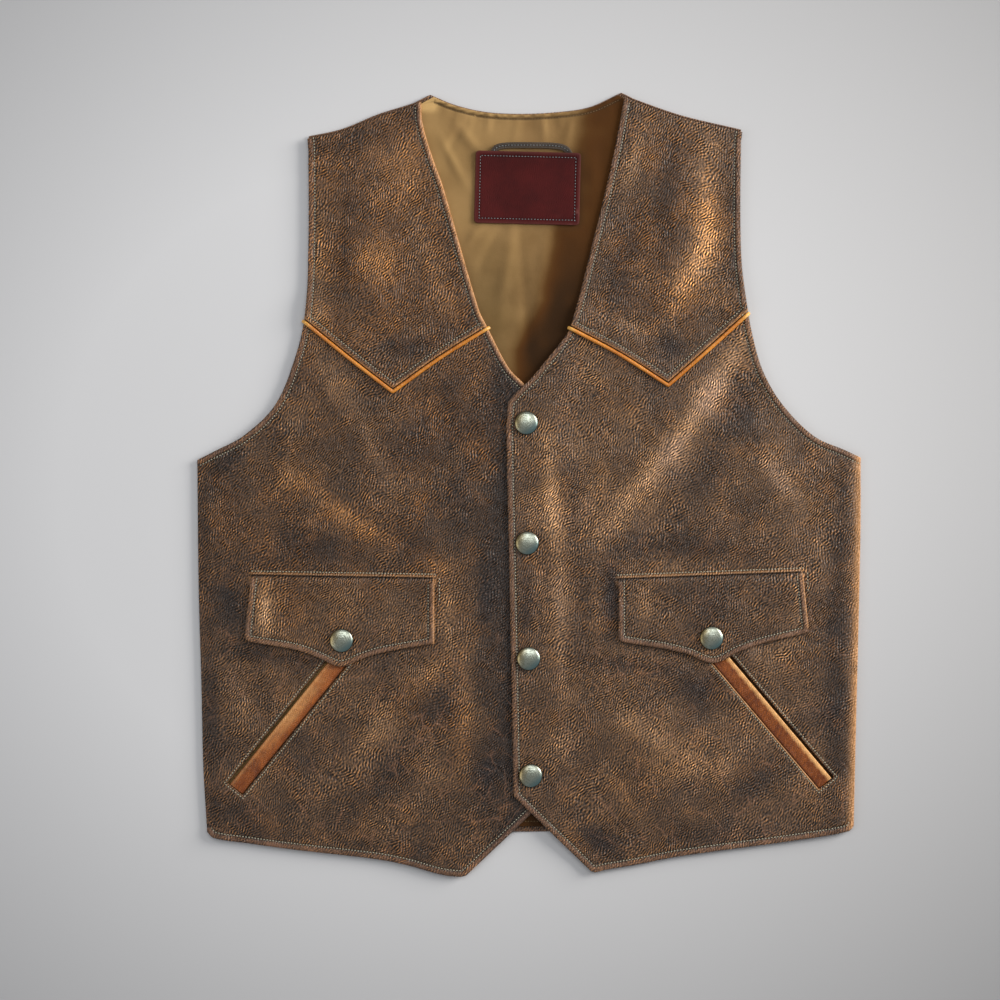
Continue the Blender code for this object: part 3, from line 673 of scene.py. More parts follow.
    def welt_top(self, spots):
        """Top of the welt: a fold that is highest at the pocket's mouth."""
        along, out = self.pocket_places(spots)
        share = np.clip(out / (WINDOW_WIDTH / 2), -1, 1)
        rise = 0.9 * ease((share + 0.9) / 1.5) - 0.5 * np.exp(-((share + 1.0) / 0.2) ** 2)
        wrinkle = 0.10 * noise(np.column_stack([along, out * 0.25]), 3.4, 41)
        return self.ground(spots) - 0.9 + rise + wrinkle * (1 - 0.5 * share)

    def mark_hide(self, shell, bands, paler=0.0, placket_painted_shadow=0.0):
        """Marks of the hide: its tone and its warmth, partly painted light and shade from the bands, with a
        painted shadow beside the placket, and how much its veins show.
        """
        spots = shell.spots
        seed = 51 if self.side == "right" else 67
        upper = ease((spots[:, 1] - 90.0) / 60.0)
        lower = ease((-60.0 - spots[:, 1]) / 80.0)
        warp = np.column_stack([noise(spots, 26.0, seed + 5), noise(spots, 26.0, seed + 6)]) * 9.0
        tone = bands.tone(spots) + paler
        tone += 0.17 * noise(spots + warp, 30.0, seed) + 0.10 * noise(spots + warp, 13.0, seed + 1)
        tone += 0.15 * upper + 0.1 * lower if self.side == "right" else 0.24 - 0.12 * upper - 0.08 * lower
        # Painted shadow on the right front beside the left front's lapped edge
        if self.side == "right":
            over = np.abs(spots[:, 0] - np.interp(spots[:, 1], *LAP_EDGE))
            tone -= placket_painted_shadow * np.exp(-(over / PLACKET_PAINTED_SHADOW_REACH) ** 2)
        shell.mark("tone", np.clip(tone, -1.2, 1.2))
        warmth = bands.warmth(spots) + 0.4 * noise(spots - warp, 32.0, seed + 2)
        warmth += 0.3 * noise(spots - warp, 14.0, seed + 3)
        warmth += 0.48 + 0.35 * upper - 0.4 * lower if self.side == "right" else -0.15 + 0.6 * upper
        shell.mark("warmth", np.clip(warmth, -1.0, 1.0))
        low_down = ease((-20.0 - spots[:, 1]) / 190.0)
        shell.mark("veins", 0.25 + 0.75 * low_down)


def back_edges():
    """The back panel's edges, each from a front's edge moved in or out, with the leather on its left."""
    right = {name: smooth(knots) for name, knots in FRONT_EDGES["right"].items()}
    left = {name: smooth(knots) for name, knots in FRONT_EDGES["left"].items()}
    return {
        "hem": smooth(BACK_HEM),
        "side_left": shifted(left["side"], -GAP)[::-1],
        "armhole_left": shifted(left["armhole"], -ARMHOLE_INSET)[::-1],
        "shoulder_left": shifted(left["shoulder"], SHOULDER_REACH)[::-1],
        "neck": smooth(BACK_NECK),
        "shoulder_right": shifted(right["shoulder"], SHOULDER_REACH)[::-1],
        "armhole_right": shifted(right["armhole"], -ARMHOLE_INSET)[::-1],
        "side_right": shifted(right["side"], -GAP)[::-1],
    }


# Shells: a closed wall of leather or cotton over a loop

def grid_over(low, high, spacing):
    """Points of an even triangular grid over a rectangle."""
    rise = spacing * math.sqrt(3) / 2
    rows = np.arange(math.ceil((high[1] - low[1]) / rise) + 1)
    columns = np.arange(math.ceil((high[0] - low[0]) / spacing) + 1)
    across = low[0] + (columns[None] + 0.5 * (rows[:, None] % 2)) * spacing
    along = np.broadcast_to(low[1] + rows[:, None] * rise, across.shape)
    return np.column_stack([across.ravel(), along.ravel()])


def triangles_over(loops, more):
    """Triangles inside the first loop and outside the others, through more points."""
    points = [point for loop in loops for point in loop] + [Vector(p) for p in more]
    edges, first = [], 0
    for loop in loops:
        edges += [(first + i, first + (i + 1) % len(loop)) for i in range(len(loop))]
        first += len(loop)
    found = delaunay_2d_cdt(points, edges, [], 0, 1e-6)
    spots, faces = as_array(found[0]), np.array(found[2])
    middles = spots[faces].mean(1)
    keep = Line(loops[0], closed=True).inside(middles)
    for loop in loops[1:]:
        keep &= ~Line(loop, closed=True).inside(middles)
    if len(spots) != len(points):
        raise ValueError(f"loops of a piece cross each other near {spots[len(points):][:3].tolist()}")
    return spots, faces[keep]


class Shell:
    """A closed wall, with a round rim, whose top follows a height over the flat panel."""

    def __init__(self, name, loops, top, wall, spacing, rim=RIM, rings=EDGE_RINGS, fine=None, crease=None):
        inset = [shifted(loop, rim, closed=True) for loop in loops]
        lines = [Line(loop, closed=True) for loop in loops]
        low, high = as_array(loops[0]).min(0), as_array(loops[0]).max(0)

        def far_from_edges(spots):
            return np.min([line.measure(spots)[0] for line in lines], axis=0)

        more = []
        for ring in rings:
            spots = as_array([p for loop in loops for p in shifted(loop, ring, closed=True)])
            more.append(spots[(far_from_edges(spots) > ring * 0.93) & lines[0].inside(spots)])
        last = (rings[-1] if rings else rim) + spacing * 0.6
        spots = grid_over(low, high, spacing)
        if fine is not None:
            hidden = grid_over(low, high, HIDDEN_MESH)
            spots = np.vstack([spots[fine(spots)], hidden[~fine(hidden)]])
        spots = spots[lines[0].inside(spots)]
        if crease is not None:
            more += [as_array(shifted(crease, reach)) for reach in FLAP_CREASES]
            spots = spots[Line(crease).measure(spots)[0] > spacing * 0.5 - FLAP_CREASES[0]]
        more.append(spots[far_from_edges(spots) > last])
        top_spots, top_faces = triangles_over(inset, np.vstack(more))
        under = grid_over(low, high, HIDDEN_MESH)
        under = under[lines[0].inside(under)]
        under = under[far_from_edges(under) > HIDDEN_MESH * 0.5]
        low_spots, low_faces = triangles_over(inset, under)

        rim_count = sum(len(loop) for loop in loops)
        upper = top(top_spots)
        lower = top(low_spots) - wall
        inner = np.vstack([as_array(loop) for loop in inset])
        outer = np.vstack([as_array(loop) for loop in loops])
        middle = (upper[:rim_count] + lower[:rim_count]) / 2
        half = (upper[:rim_count] - lower[:rim_count]) / 2
        places = [np.column_stack([top_spots, upper])]
        for step in range(1, RIM_STEPS):
            angle = math.pi * step / RIM_STEPS
            ring_spots = inner + (outer - inner) * math.sin(angle)
            places.append(np.column_stack([ring_spots, middle + half * math.cos(angle)]))
        places.append(np.column_stack([low_spots, lower]))
        first_under = len(top_spots) + rim_count * (RIM_STEPS - 1)
        ring_starts = [0] + [len(top_spots) + rim_count * k for k in range(RIM_STEPS - 1)] + [first_under]
        quads, first = [], 0
        for loop in loops:
            here = first + np.arange(len(loop))
            there = first + (np.arange(len(loop)) + 1) % len(loop)
            for upper_start, lower_start in zip(ring_starts, ring_starts[1:]):
                quads.append(np.column_stack([here + lower_start, there + lower_start,
                                              there + upper_start, here + upper_start]))
            first += len(loop)
        faces = top_faces.tolist() + np.vstack(quads).tolist()
        faces += (low_faces[:, ::-1] + first_under).tolist()
        self.places = np.vstack(places)
        self.spots = self.places[:, :2]
        self.object = mesh_object(name, self.places * MM, faces)

    def mark(self, name, values):
        mark(self.object, name, values)


def mark(obj, name, values):
    """Keep a number for each point of a piece, which its material reads."""
    attribute = obj.data.attributes.new(name, "FLOAT", "POINT")
    attribute.data.foreach_set("value", np.asarray(values, np.float32))


def mesh_object(name, places, faces):
    mesh = bpy.data.meshes.new(name)
    mesh.from_pydata([tuple(p) for p in places], [], faces)
    mesh.shade_smooth()
    mesh.update()
    made = bpy.data.objects.new(name, mesh)
    bpy.context.scene.collection.objects.link(made)
    return made


# Materials

def linear(red, green, blue):
    """A colour from its screen values, 0 to 255."""
    return tuple((v / 12.92 if v <= 0.04045 else ((v + 0.055) / 1.055) ** 2.4)
                 for v in (red / 255, green / 255, blue / 255)) + (1.0,)


class Tree:
    """Short names for building a node tree."""

    def __init__(self, tree):
        self.tree = tree

    def add(self, kind, inputs=None, **settings):
        made = self.tree.nodes.new(kind)
        for name, value in settings.items():
            setattr(made, name, value)
        for name, value in (inputs or {}).items():
            self.set(made.inputs[name], value)
        return made

    def set(self, socket, value):
        if isinstance(value, bpy.types.NodeSocket):
            self.tree.links.new(value, socket)
        else:
            socket.default_value = value

    def math(self, operation, a, b=0.0, c=0.0):
        made = self.add("ShaderNodeMath", operation=operation)
        for socket, value in zip(made.inputs, (a, b, c)):
            self.set(socket, value)
        return made.outputs[0]

    def spread(self, value, low, high, to_low=0.0, to_high=1.0, smooth_ends=True):
        """A value spread from one range to another, and held at its ends."""
        made = self.add("ShaderNodeMapRange", clamp=True)
        made.interpolation_type = "SMOOTHSTEP" if smooth_ends else "LINEAR"
        for name, number in (("Value", value), ("From Min", low), ("From Max", high),
                             ("To Min", to_low), ("To Max", to_high)):
            self.set(made.inputs[name], number)
        return made.outputs[0]

    def mix(self, share, a, b, blend="MIX"):
        made = self.add("ShaderNodeMix", data_type="RGBA", blend_type=blend)
        for socket, value in zip((made.inputs[0], made.inputs[6], made.inputs[7]), (share, a, b)):
            self.set(socket, value)
        return made.outputs[2]

    def noise(self, vector, scale, detail=2.0, roughness=0.5):
        made = self.add("ShaderNodeTexNoise", {"Vector": vector, "Scale": scale, "Detail": detail,
                                               "Roughness": roughness})
        return made.outputs[0]

    def cells(self, vector, scale):
        """Distance to the edges of cells on the flat."""
        made = self.add("ShaderNodeTexVoronoi", feature="DISTANCE_TO_EDGE", voronoi_dimensions="2D")
        for name, value in (("Vector", vector), ("Scale", scale)):
            self.set(made.inputs[name], value)
        return made.outputs["Distance"]

    def attribute(self, name):
        return self.add("ShaderNodeAttribute", attribute_name=name).outputs["Fac"]

    def turned(self, vector, turn, scale=(1.0, 1.0, 1.0), location=(0.0, 0.0, 0.0)):
        made = self.add("ShaderNodeMapping", {"Vector": vector, "Scale": scale, "Location": location,
                                              "Rotation": (0.0, 0.0, math.radians(turn))})
        return made.outputs[0]

    def laid(self, vector, turn, stretch, seed=0.0):
        """Coordinates whose patterns are drawn out along a direction, shifted by a seed."""
        made = self.turned(vector, -turn, location=(seed, 1.7 * seed, 2.3 * seed))
        return self.add("ShaderNodeVectorMath", {0: made, 1: (1.0 / stretch, 1.0, 1.0)},
                        operation="MULTIPLY").outputs[0]

    def warped(self, vector, scale, reach):
        """Coordinates pushed about by noise, so that lines on them wander."""
        push = self.add("ShaderNodeTexNoise", {"Vector": vector, "Scale": scale, "Detail": 2.0})
        centred = self.add("ShaderNodeVectorMath", {0: push.outputs[1], 1: (0.5, 0.5, 0.5)},
                           operation="SUBTRACT").outputs[0]
        scaled = self.add("ShaderNodeVectorMath", {0: centred, 3: reach}, operation="SCALE").outputs[0]
        return self.add("ShaderNodeVectorMath", {0: vector, 1: scaled}, operation="ADD").outputs[0]


def group(name, inputs, outputs):
    """An empty shader group with named sockets: each input has a type and a first value."""
    tree = bpy.data.node_groups.new(name, "ShaderNodeTree")
    for socket_name, (kind, value) in inputs.items():
        socket = tree.interface.new_socket(socket_name, in_out="INPUT", socket_type=kind)
        if value is not None:
            socket.default_value = value
    for socket_name, kind in outputs.items():
        tree.interface.new_socket(socket_name, in_out="OUTPUT", socket_type=kind)
    kit = Tree(tree)
    return kit, kit.add("NodeGroupInput").outputs, kit.add("NodeGroupOutput").inputs


def hide_grain_group():
    """Grain of a hide: ripples that run together in rows, fine pebbles, creases and longer veins."""
    kit, given, out = group(
        "hide grain",
        {"Vector": ("NodeSocketVector", None), "Grain": ("NodeSocketFloat", 470.0),
         "Veins": ("NodeSocketFloat", 90.0)},
        {"Height": "NodeSocketFloat", "Ridges": "NodeSocketFloat", "Veins": "NodeSocketFloat",
         "Creases": "NodeSocketFloat"})
    flow = kit.warped(given["Vector"], 14.0, 0.018)
    waves = kit.add("ShaderNodeTexGabor", {"Vector": flow, "Frequency": 3.0, "Anisotropy": 0.6})
    kit.set(waves.inputs["Scale"], kit.math("MULTIPLY", given["Grain"], 1 / 3))
    waves.inputs[4].default_value = math.radians(145.0)
    ripples = kit.math("MULTIPLY", kit.math("SUBTRACT", waves.outputs["Value"], 0.5), 3.4)
    pebbles = kit.noise(kit.laid(flow, 60.0, 2.0, 0.4), kit.math("MULTIPLY", given["Grain"], 2.1), 0.0)
    pebbles = kit.math("MULTIPLY", kit.math("SUBTRACT", pebbles, 0.5), 1.5)
    firm = kit.spread(kit.noise(flow, 34.0, 2.0), 0.36, 0.62, 0.65, 1.1)
    grain = kit.math("MULTIPLY", kit.math("ADD", ripples, pebbles), firm)
    ridges = kit.math("ADD", grain, 0.5)
    wandering = kit.warped(kit.warped(given["Vector"], 60.0, 0.010), 260.0, 0.002)
    lines = []
    for turn, stretch, size, width, seed in ((57.0, 5.0, 0.6, 0.05, 0.2), (-50.0, 2.5, 0.7, 0.04, 0.6),
                                             (66.0, 3.0, 0.9, 0.05, 0.8)):
        edge = kit.cells(kit.laid(wandering, turn, stretch, seed),
                         kit.math("MULTIPLY", given["Veins"], size))
        where = kit.spread(kit.noise(given["Vector"], 24.0 + 20.0 * seed, 3.0, 0.6), 0.48, 0.62)
        lines.append(kit.math("MULTIPLY", kit.spread(edge, 0.0, width, 1.0, 0.0), where))
    vein = kit.math("MAXIMUM", lines[1], lines[2])
    kit.set(out["Height"], kit.math("MULTIPLY_ADD", lines[0], -0.6, kit.math("MULTIPLY", grain, 0.7)))
    kit.set(out["Ridges"], ridges)
    kit.set(out["Veins"], vein)
    kit.set(out["Creases"], lines[0])
    return kit.tree


def use_group(kit, tree, inputs):
    made = kit.add("ShaderNodeGroup", node_tree=tree)
    for name, value in inputs.items():
        kit.set(made.inputs[name], value)
    return made.outputs


def new_material(name):
    """A material with its tree, its Principled shader and its Object coordinates."""
    made = bpy.data.materials.new(name)
    made.use_nodes = True
    kit = Tree(made.node_tree)
    shader = made.node_tree.nodes["Principled BSDF"]
    return made, kit, shader, kit.add("ShaderNodeTexCoord").outputs["Object"]


def bumped(kit, shader, height, distance, strength=1.0):
    made = kit.add("ShaderNodeBump", {"Height": height, "Distance": distance, "Strength": strength})
    kit.set(shader.inputs["Normal"], made.outputs[0])


def main_leather(grain):
    """Waxed brown hide: dark and rubbed places, ridges of the grain paler than its hollows, with painted
    shade in the hollows, grooves and creases and painted highlights and sheen on the edges.
    """
    made, kit, shader, spot = new_material("waxed brown leather")
    hide = use_group(kit, grain, {"Vector": spot, "Grain": 455.0, "Veins": 80.0})
    mottle = kit.noise(kit.warped(spot, 40.0, 0.02), 26.0, 2.0, 0.5)
    # Lightness from the hide's tone, which carries the bands' painted light and shade and the painted shadow
    # beside the placket
    lightness = kit.math("MULTIPLY_ADD", kit.math("SUBTRACT", mottle, 0.5), 0.55,
                         kit.math("MULTIPLY_ADD", kit.attribute("tone"), 0.42, 0.38))
    ramp = kit.add("ShaderNodeValToRGB", {"Fac": lightness})
    colours = ramp.color_ramp.elements
    colours[0].position, colours[0].color = 0.0, linear(44, 33, 26)
    colours[1].position, colours[1].color = 1.0, linear(170, 132, 96)
    for position, colour in ((0.25, linear(64, 46, 31)), (0.5, linear(92, 67, 44)),
                             (0.75, linear(128, 96, 65))):
        colours.new(position).color = colour
    colour = ramp.outputs[0]
    # Warm and cool casts: the leather's colour, and in the bands partly painted light and shade
    for most, cast in ((1.0, (1.12, 0.93, 0.62, 1.0)), (-1.0, (0.95, 1.04, 1.36, 1.0))):
        share = kit.spread(kit.attribute("warmth"), 0.0, most, 0.0, 0.8)
        colour = kit.mix(share, colour, cast, "MULTIPLY")
    rubbed = kit.spread(kit.noise(kit.warped(spot, 90.0, 0.008), 52.0, 2.0, 0.5), 0.54, 0.68)
    colour = kit.mix(kit.math("MULTIPLY", rubbed, 0.10), colour, linear(150, 98, 48))
    # Grain ridges paler and hollows darker and bluer: the grain's colour with painted shade in its hollows
    even = kit.math("MAXIMUM", kit.math("MULTIPLY_ADD", hide["Ridges"], 1.1, 0.45), 0.1)
    colour = kit.mix(1.0, colour, kit.math("POWER", even, 2.2), "MULTIPLY")
    tint = kit.mix(kit.spread(hide["Ridges"], 0.0, 1.0), (0.93, 0.98, 1.12, 1.0), (1.05, 1.0, 0.92, 1.0))
    colour = kit.mix(1.0, colour, tint, "MULTIPLY")
    # Painted shade in the long creases
    colour = kit.mix(kit.math("MULTIPLY", hide["Creases"], 0.4), colour, linear(34, 26, 22))
    pale = kit.math("MULTIPLY", hide["Veins"], kit.math("MULTIPLY", kit.attribute("veins"), 0.26))
    colour = kit.mix(pale, colour, linear(182, 130, 98))
    # Turned beads worn paler, with a painted sheen on their crests
    colour = kit.mix(kit.math("MULTIPLY", kit.attribute("wear_and_sheen"), 0.42), colour, linear(160, 118, 94))
    # Painted shade in the stitches' grooves and painted shadow lines under the flaps' and yokes' edges
    colour = kit.mix(kit.math("MULTIPLY", kit.attribute("groove"), 0.8), colour, linear(26, 21, 20))
    # Painted highlights on edges that face the window
    colour = kit.mix(kit.attribute("rim"), colour, linear(230, 168, 110))
    kit.set(shader.inputs["Base Color"], colour)
    kit.set(shader.inputs["Roughness"], kit.math("MULTIPLY_ADD", hide["Ridges"], -0.1, 0.52))
    shader.inputs["Specular IOR Level"].default_value = 0.45
    bumped(kit, shader, hide["Height"], 0.00078, 1.0)
    return made


def smooth_leather(name, grain, deep, light, wear_and_sheen_colour, roughness, relief=0.5, wrinkle=0.0, gloss=0.45):
    """Plain dyed leather for the trims: a finer grain, fine slanting wrinkles, a tone of its own, with
    painted shade in hollows and grooves and a painted sheen.
    """
    made, kit, shader, spot = new_material(name)
    hide = use_group(kit, grain, {"Vector": spot, "Grain": 620.0, "Veins": 140.0})
    mottle = kit.noise(spot, 60.0, 5.0, 0.6)
    lines = kit.noise(kit.laid(kit.warped(spot, 90.0, 0.004), 66.0, 5.0), 520.0, 3.0, 0.6)
    lightness = kit.math("MULTIPLY_ADD", kit.math("SUBTRACT", lines, 0.5), wrinkle, mottle)
    lightness = kit.math("MULTIPLY_ADD", kit.attribute("tone"), 0.4, lightness)
    colour = kit.mix(kit.spread(lightness, 0.2, 0.8, smooth_ends=False), deep, light)
    # Painted shade in the grain's hollows
    hollow = kit.math("MULTIPLY", kit.math("SUBTRACT", 1.0, hide["Ridges"]), 0.25 * relief)
    colour = kit.mix(hollow, colour, tuple(0.4 * v for v in deep[:3]) + (1.0,))
    # Worn places with a painted sheen
    colour = kit.mix(kit.attribute("wear_and_sheen"), colour, wear_and_sheen_colour)
    # Painted shade in grooves
    colour = kit.mix(kit.math("MULTIPLY", kit.attribute("groove"), 0.8), colour,
                     tuple(0.3 * v for v in deep[:3]) + (1.0,))
    kit.set(shader.inputs["Base Color"], colour)
    kit.set(shader.inputs["Roughness"], kit.math("MULTIPLY_ADD", mottle, 0.2, roughness - 0.1))
    shader.inputs["Specular IOR Level"].default_value = gloss
    height = kit.math("MULTIPLY_ADD", lines, wrinkle, kit.math("MULTIPLY", hide["Height"], relief))
    bumped(kit, shader, height, 0.0005, 0.8)
    return made


def weave_group():
    """Twill weave from two sets of threads, for cotton."""
    kit, given, out = group("twill weave", {"Vector": ("NodeSocketVector", None),
                                            "Threads": ("NodeSocketFloat", 1500.0)},
                            {"Height": "NodeSocketFloat"})
    rows = []
    for turn, pull in ((63.0, 1.0), (0.0, 0.45)):
        wave = kit.add("ShaderNodeTexWave", {"Vector": kit.turned(given["Vector"], turn),
                                             "Scale": kit.math("MULTIPLY", given["Threads"], 0.16),
                                             "Distortion": 0.6, "Detail": 1.0})
        rows.append(kit.math("MULTIPLY", wave.outputs["Fac"], pull))
    kit.set(out["Height"], kit.math("ADD", rows[0], rows[1]))
    return kit.tree


def lining_cotton():
    """Matt khaki twill, with a painted shadow towards the wearer's left, made browner by a painted
    reflection of the leather's colour.
    """
    made, kit, shader, spot = new_material("khaki lining cotton")
    weave = use_group(kit, weave_group(), {"Vector": spot, "Threads": 3200.0})["Height"]
    mottle = kit.noise(spot, 16.0, 4.0, 0.55)
    colour = kit.mix(kit.spread(mottle, 0.3, 0.7), linear(132, 100, 58), linear(162, 127, 81))
    # Paler places, with painted light on slopes that face the window
    colour = kit.mix(kit.attribute("tone"), colour, linear(228, 186, 122))
    colour = kit.mix(kit.attribute("olive"), colour, linear(104, 92, 56))
    # Painted shadow, tinted by painted light off the leather
    ramp = kit.add("ShaderNodeValToRGB", {"Fac": kit.attribute("brown")})
    browns = ramp.color_ramp.elements
    browns[0].position, browns[0].color = 0.0, linear(114, 80, 36)
    browns[1].position, browns[1].color = 1.0, linear(52, 28, 4)
    browns.new(0.55).color = linear(84, 47, 8)
    colour = kit.mix(kit.spread(kit.attribute("brown"), 0.0, 0.45), colour, ramp.outputs[0])
    # Painted shade in the stitches' grooves, on slopes turned from the window and round the label
    colour = kit.mix(kit.math("MULTIPLY", kit.attribute("groove"), 0.7), colour, linear(54, 40, 26))
    colour = kit.mix(kit.math("MULTIPLY", weave, 0.13), colour, linear(96, 76, 48))
    kit.set(shader.inputs["Base Color"], colour)
    shader.inputs["Roughness"].default_value = 0.92
    shader.inputs["Specular IOR Level"].default_value = 0.15
    shader.inputs["Sheen Weight"].default_value = 0.08
    shader.inputs["Sheen Roughness"].default_value = 0.5
    bumped(kit, shader, kit.math("MULTIPLY_ADD", kit.noise(spot, 380.0, 3.0), 0.8, weave), 0.00022, 0.8)
    return made


def thread(name, colour, shade):
    made, kit, shader, spot = new_material(name)
    ply = kit.noise(kit.turned(spot, 35.0, (1.0, 3.0, 1.0)), 1400.0, 2.0)
    kit.set(shader.inputs["Base Color"], kit.mix(kit.spread(ply, 0.35, 0.65), shade, colour))
    shader.inputs["Roughness"].default_value = 0.7
    bumped(kit, shader, ply, 0.0002, 0.7)
    return made


def antique_silver():
    """Worn silver cap: faint waved lines, a painted warm reflection on one side, a painted bluish reflection
    on the other and a painted shadow ring at its edge.
    """
    made, kit, shader, spot = new_material("antique silver")
    across, along = kit.attribute("across"), kit.attribute("along")
    squares = kit.math("MULTIPLY_ADD", across, across, kit.math("MULTIPLY", along, along))
    radius = kit.math("SQRT", squares)
    angle = kit.math("ARCTAN2", along, across)
    worn = kit.noise(spot, 420.0, 4.0, 0.65)
    lobes = kit.math("SINE", kit.math("MULTIPLY", angle, 5.0))
    waves = kit.math("SINE", kit.math("MULTIPLY_ADD", lobes, 1.3, kit.math("MULTIPLY", radius, 26.0)))
    field = kit.math("MULTIPLY", kit.spread(radius, 0.1, 0.3), kit.spread(radius, 0.72, 0.88, 1.0, 0.0))
    relief = kit.math("MULTIPLY", kit.math("MULTIPLY", waves, field), kit.spread(worn, 0.35, 0.65, 0.2, 0.9))
    hollow = kit.spread(kit.math("MULTIPLY_ADD", worn, 0.9, kit.math("MULTIPLY", relief, -0.07)), 0.3, 0.75)
    colour = kit.mix(hollow, linear(190, 196, 180), linear(116, 120, 102))
    # Painted reflections: warm on one side, bluish on the other
    for turn, strength, tint in ((165.0, 0.85, linear(150, 126, 72)), (-50.0, 0.8, linear(112, 152, 158))):
        facing = kit.math("COSINE", kit.math("SUBTRACT", angle, math.radians(turn)))
        share = kit.math("MULTIPLY", kit.spread(kit.math("MULTIPLY", facing, radius), 0.1, 0.95), strength)
        colour = kit.mix(share, colour, tint)
    # Painted shadow in a ring at the cap's edge
    edge = kit.spread(radius, 0.90, 1.0)
    colour = kit.mix(kit.math("MULTIPLY", edge, 0.7), colour, linear(46, 42, 34))
    kit.set(shader.inputs["Base Color"], colour)
    shader.inputs["Metallic"].default_value = 1.0
    kit.set(shader.inputs["Roughness"], kit.math("MULTIPLY_ADD", hollow, 0.2, 0.26))
    bumped(kit, shader, relief, 0.0002, 0.15)
    return made


def floor_material():
    """Plain pale paper, with painted shade that darkens it away from the middle."""
    made, kit, shader, spot = new_material("pale floor")
    # Painted falloff of light: darker away from a point a little left of the middle
    reach = kit.add("ShaderNodeVectorMath", {0: spot, 1: (-0.13, 0.0, 0.0)}, operation="DISTANCE")
    share = kit.spread(reach.outputs["Value"], 0.27, 0.72, smooth_ends=False)
    kit.set(shader.inputs["Base Color"], kit.mix(share, linear(221, 221, 222), linear(155, 155, 156)))
    shader.inputs["Roughness"].default_value = 0.9
    shader.inputs["Specular IOR Level"].default_value = 0.1
    return made


# Stitches and cords that follow paths, by Geometry Nodes

def geometry_tree(name, inputs):
    tree = bpy.data.node_groups.new(name, "GeometryNodeTree")
    tree.interface.new_socket("Geometry", in_out="INPUT", socket_type="NodeSocketGeometry")
    for socket_name, (kind, value) in inputs.items():
        socket = tree.interface.new_socket(socket_name, in_out="INPUT", socket_type=kind)
        if value is not None:
            socket.default_value = value
    tree.interface.new_socket("Geometry", in_out="OUTPUT", socket_type="NodeSocketGeometry")
    kit = Tree(tree)
    return kit, kit.add("NodeGroupInput").outputs, kit.add("NodeGroupOutput").inputs


def stitch_tree():
    """A small round-ended stitch at each pitch along the curves, laid along them."""
    kit, given, out = geometry_tree("stitch rows", {
        "Pitch": ("NodeSocketFloat", STITCH_PITCH * MM), "Length": ("NodeSocketFloat", 1.75 * MM),
        "Width": ("NodeSocketFloat", 1.05 * MM), "Height": ("NodeSocketFloat", 0.7 * MM),
        "Lean": ("NodeSocketFloat", 0.12), "Seed": ("NodeSocketInt", 3),
        "Material": ("NodeSocketMaterial", None)})
    points = kit.add("GeometryNodeCurveToPoints", {"Curve": given["Geometry"], "Length": given["Pitch"]},
                     mode="LENGTH")
    ball = kit.add("GeometryNodeMeshUVSphere", {"Segments": 6, "Rings": 4, "Radius": 0.5})
    size = kit.add("ShaderNodeCombineXYZ", {"X": given["Length"], "Y": given["Width"], "Z": given["Height"]})
    stitch = kit.add("GeometryNodeTransform", {"Geometry": ball.outputs[0], "Scale": size.outputs[0]})
    along = kit.add("FunctionNodeAlignRotationToVector", {"Vector": points.outputs["Tangent"]},
                    axis="X", pivot_axis="Z")
    lean = kit.add("FunctionNodeRandomValue", {"Seed": given["Seed"]}, data_type="FLOAT")
    kit.set(lean.inputs[2], kit.math("MULTIPLY", given["Lean"], -1.0))
    kit.set(lean.inputs[3], given["Lean"])
    angles = kit.add("ShaderNodeCombineXYZ", {"Z": lean.outputs[1]})
    turn = kit.add("FunctionNodeEulerToRotation", {"Euler": angles.outputs[0]})
    turned = kit.add("FunctionNodeRotateRotation", {"Rotation": along.outputs[0],
                                                    "Rotate By": turn.outputs[0]})
    placed = kit.add("GeometryNodeInstanceOnPoints", {
        "Points": points.outputs["Points"], "Instance": stitch.outputs[0], "Rotation": turned.outputs[0]})
    real = kit.add("GeometryNodeRealizeInstances", {"Geometry": placed.outputs[0]})
    rounded = kit.add("GeometryNodeSetShadeSmooth", {"Geometry": real.outputs[0]})
    finished = kit.add("GeometryNodeSetMaterial", {"Geometry": rounded.outputs[0],
                                                   "Material": given["Material"]})
    kit.set(out["Geometry"], finished.outputs[0])
    return kit.tree


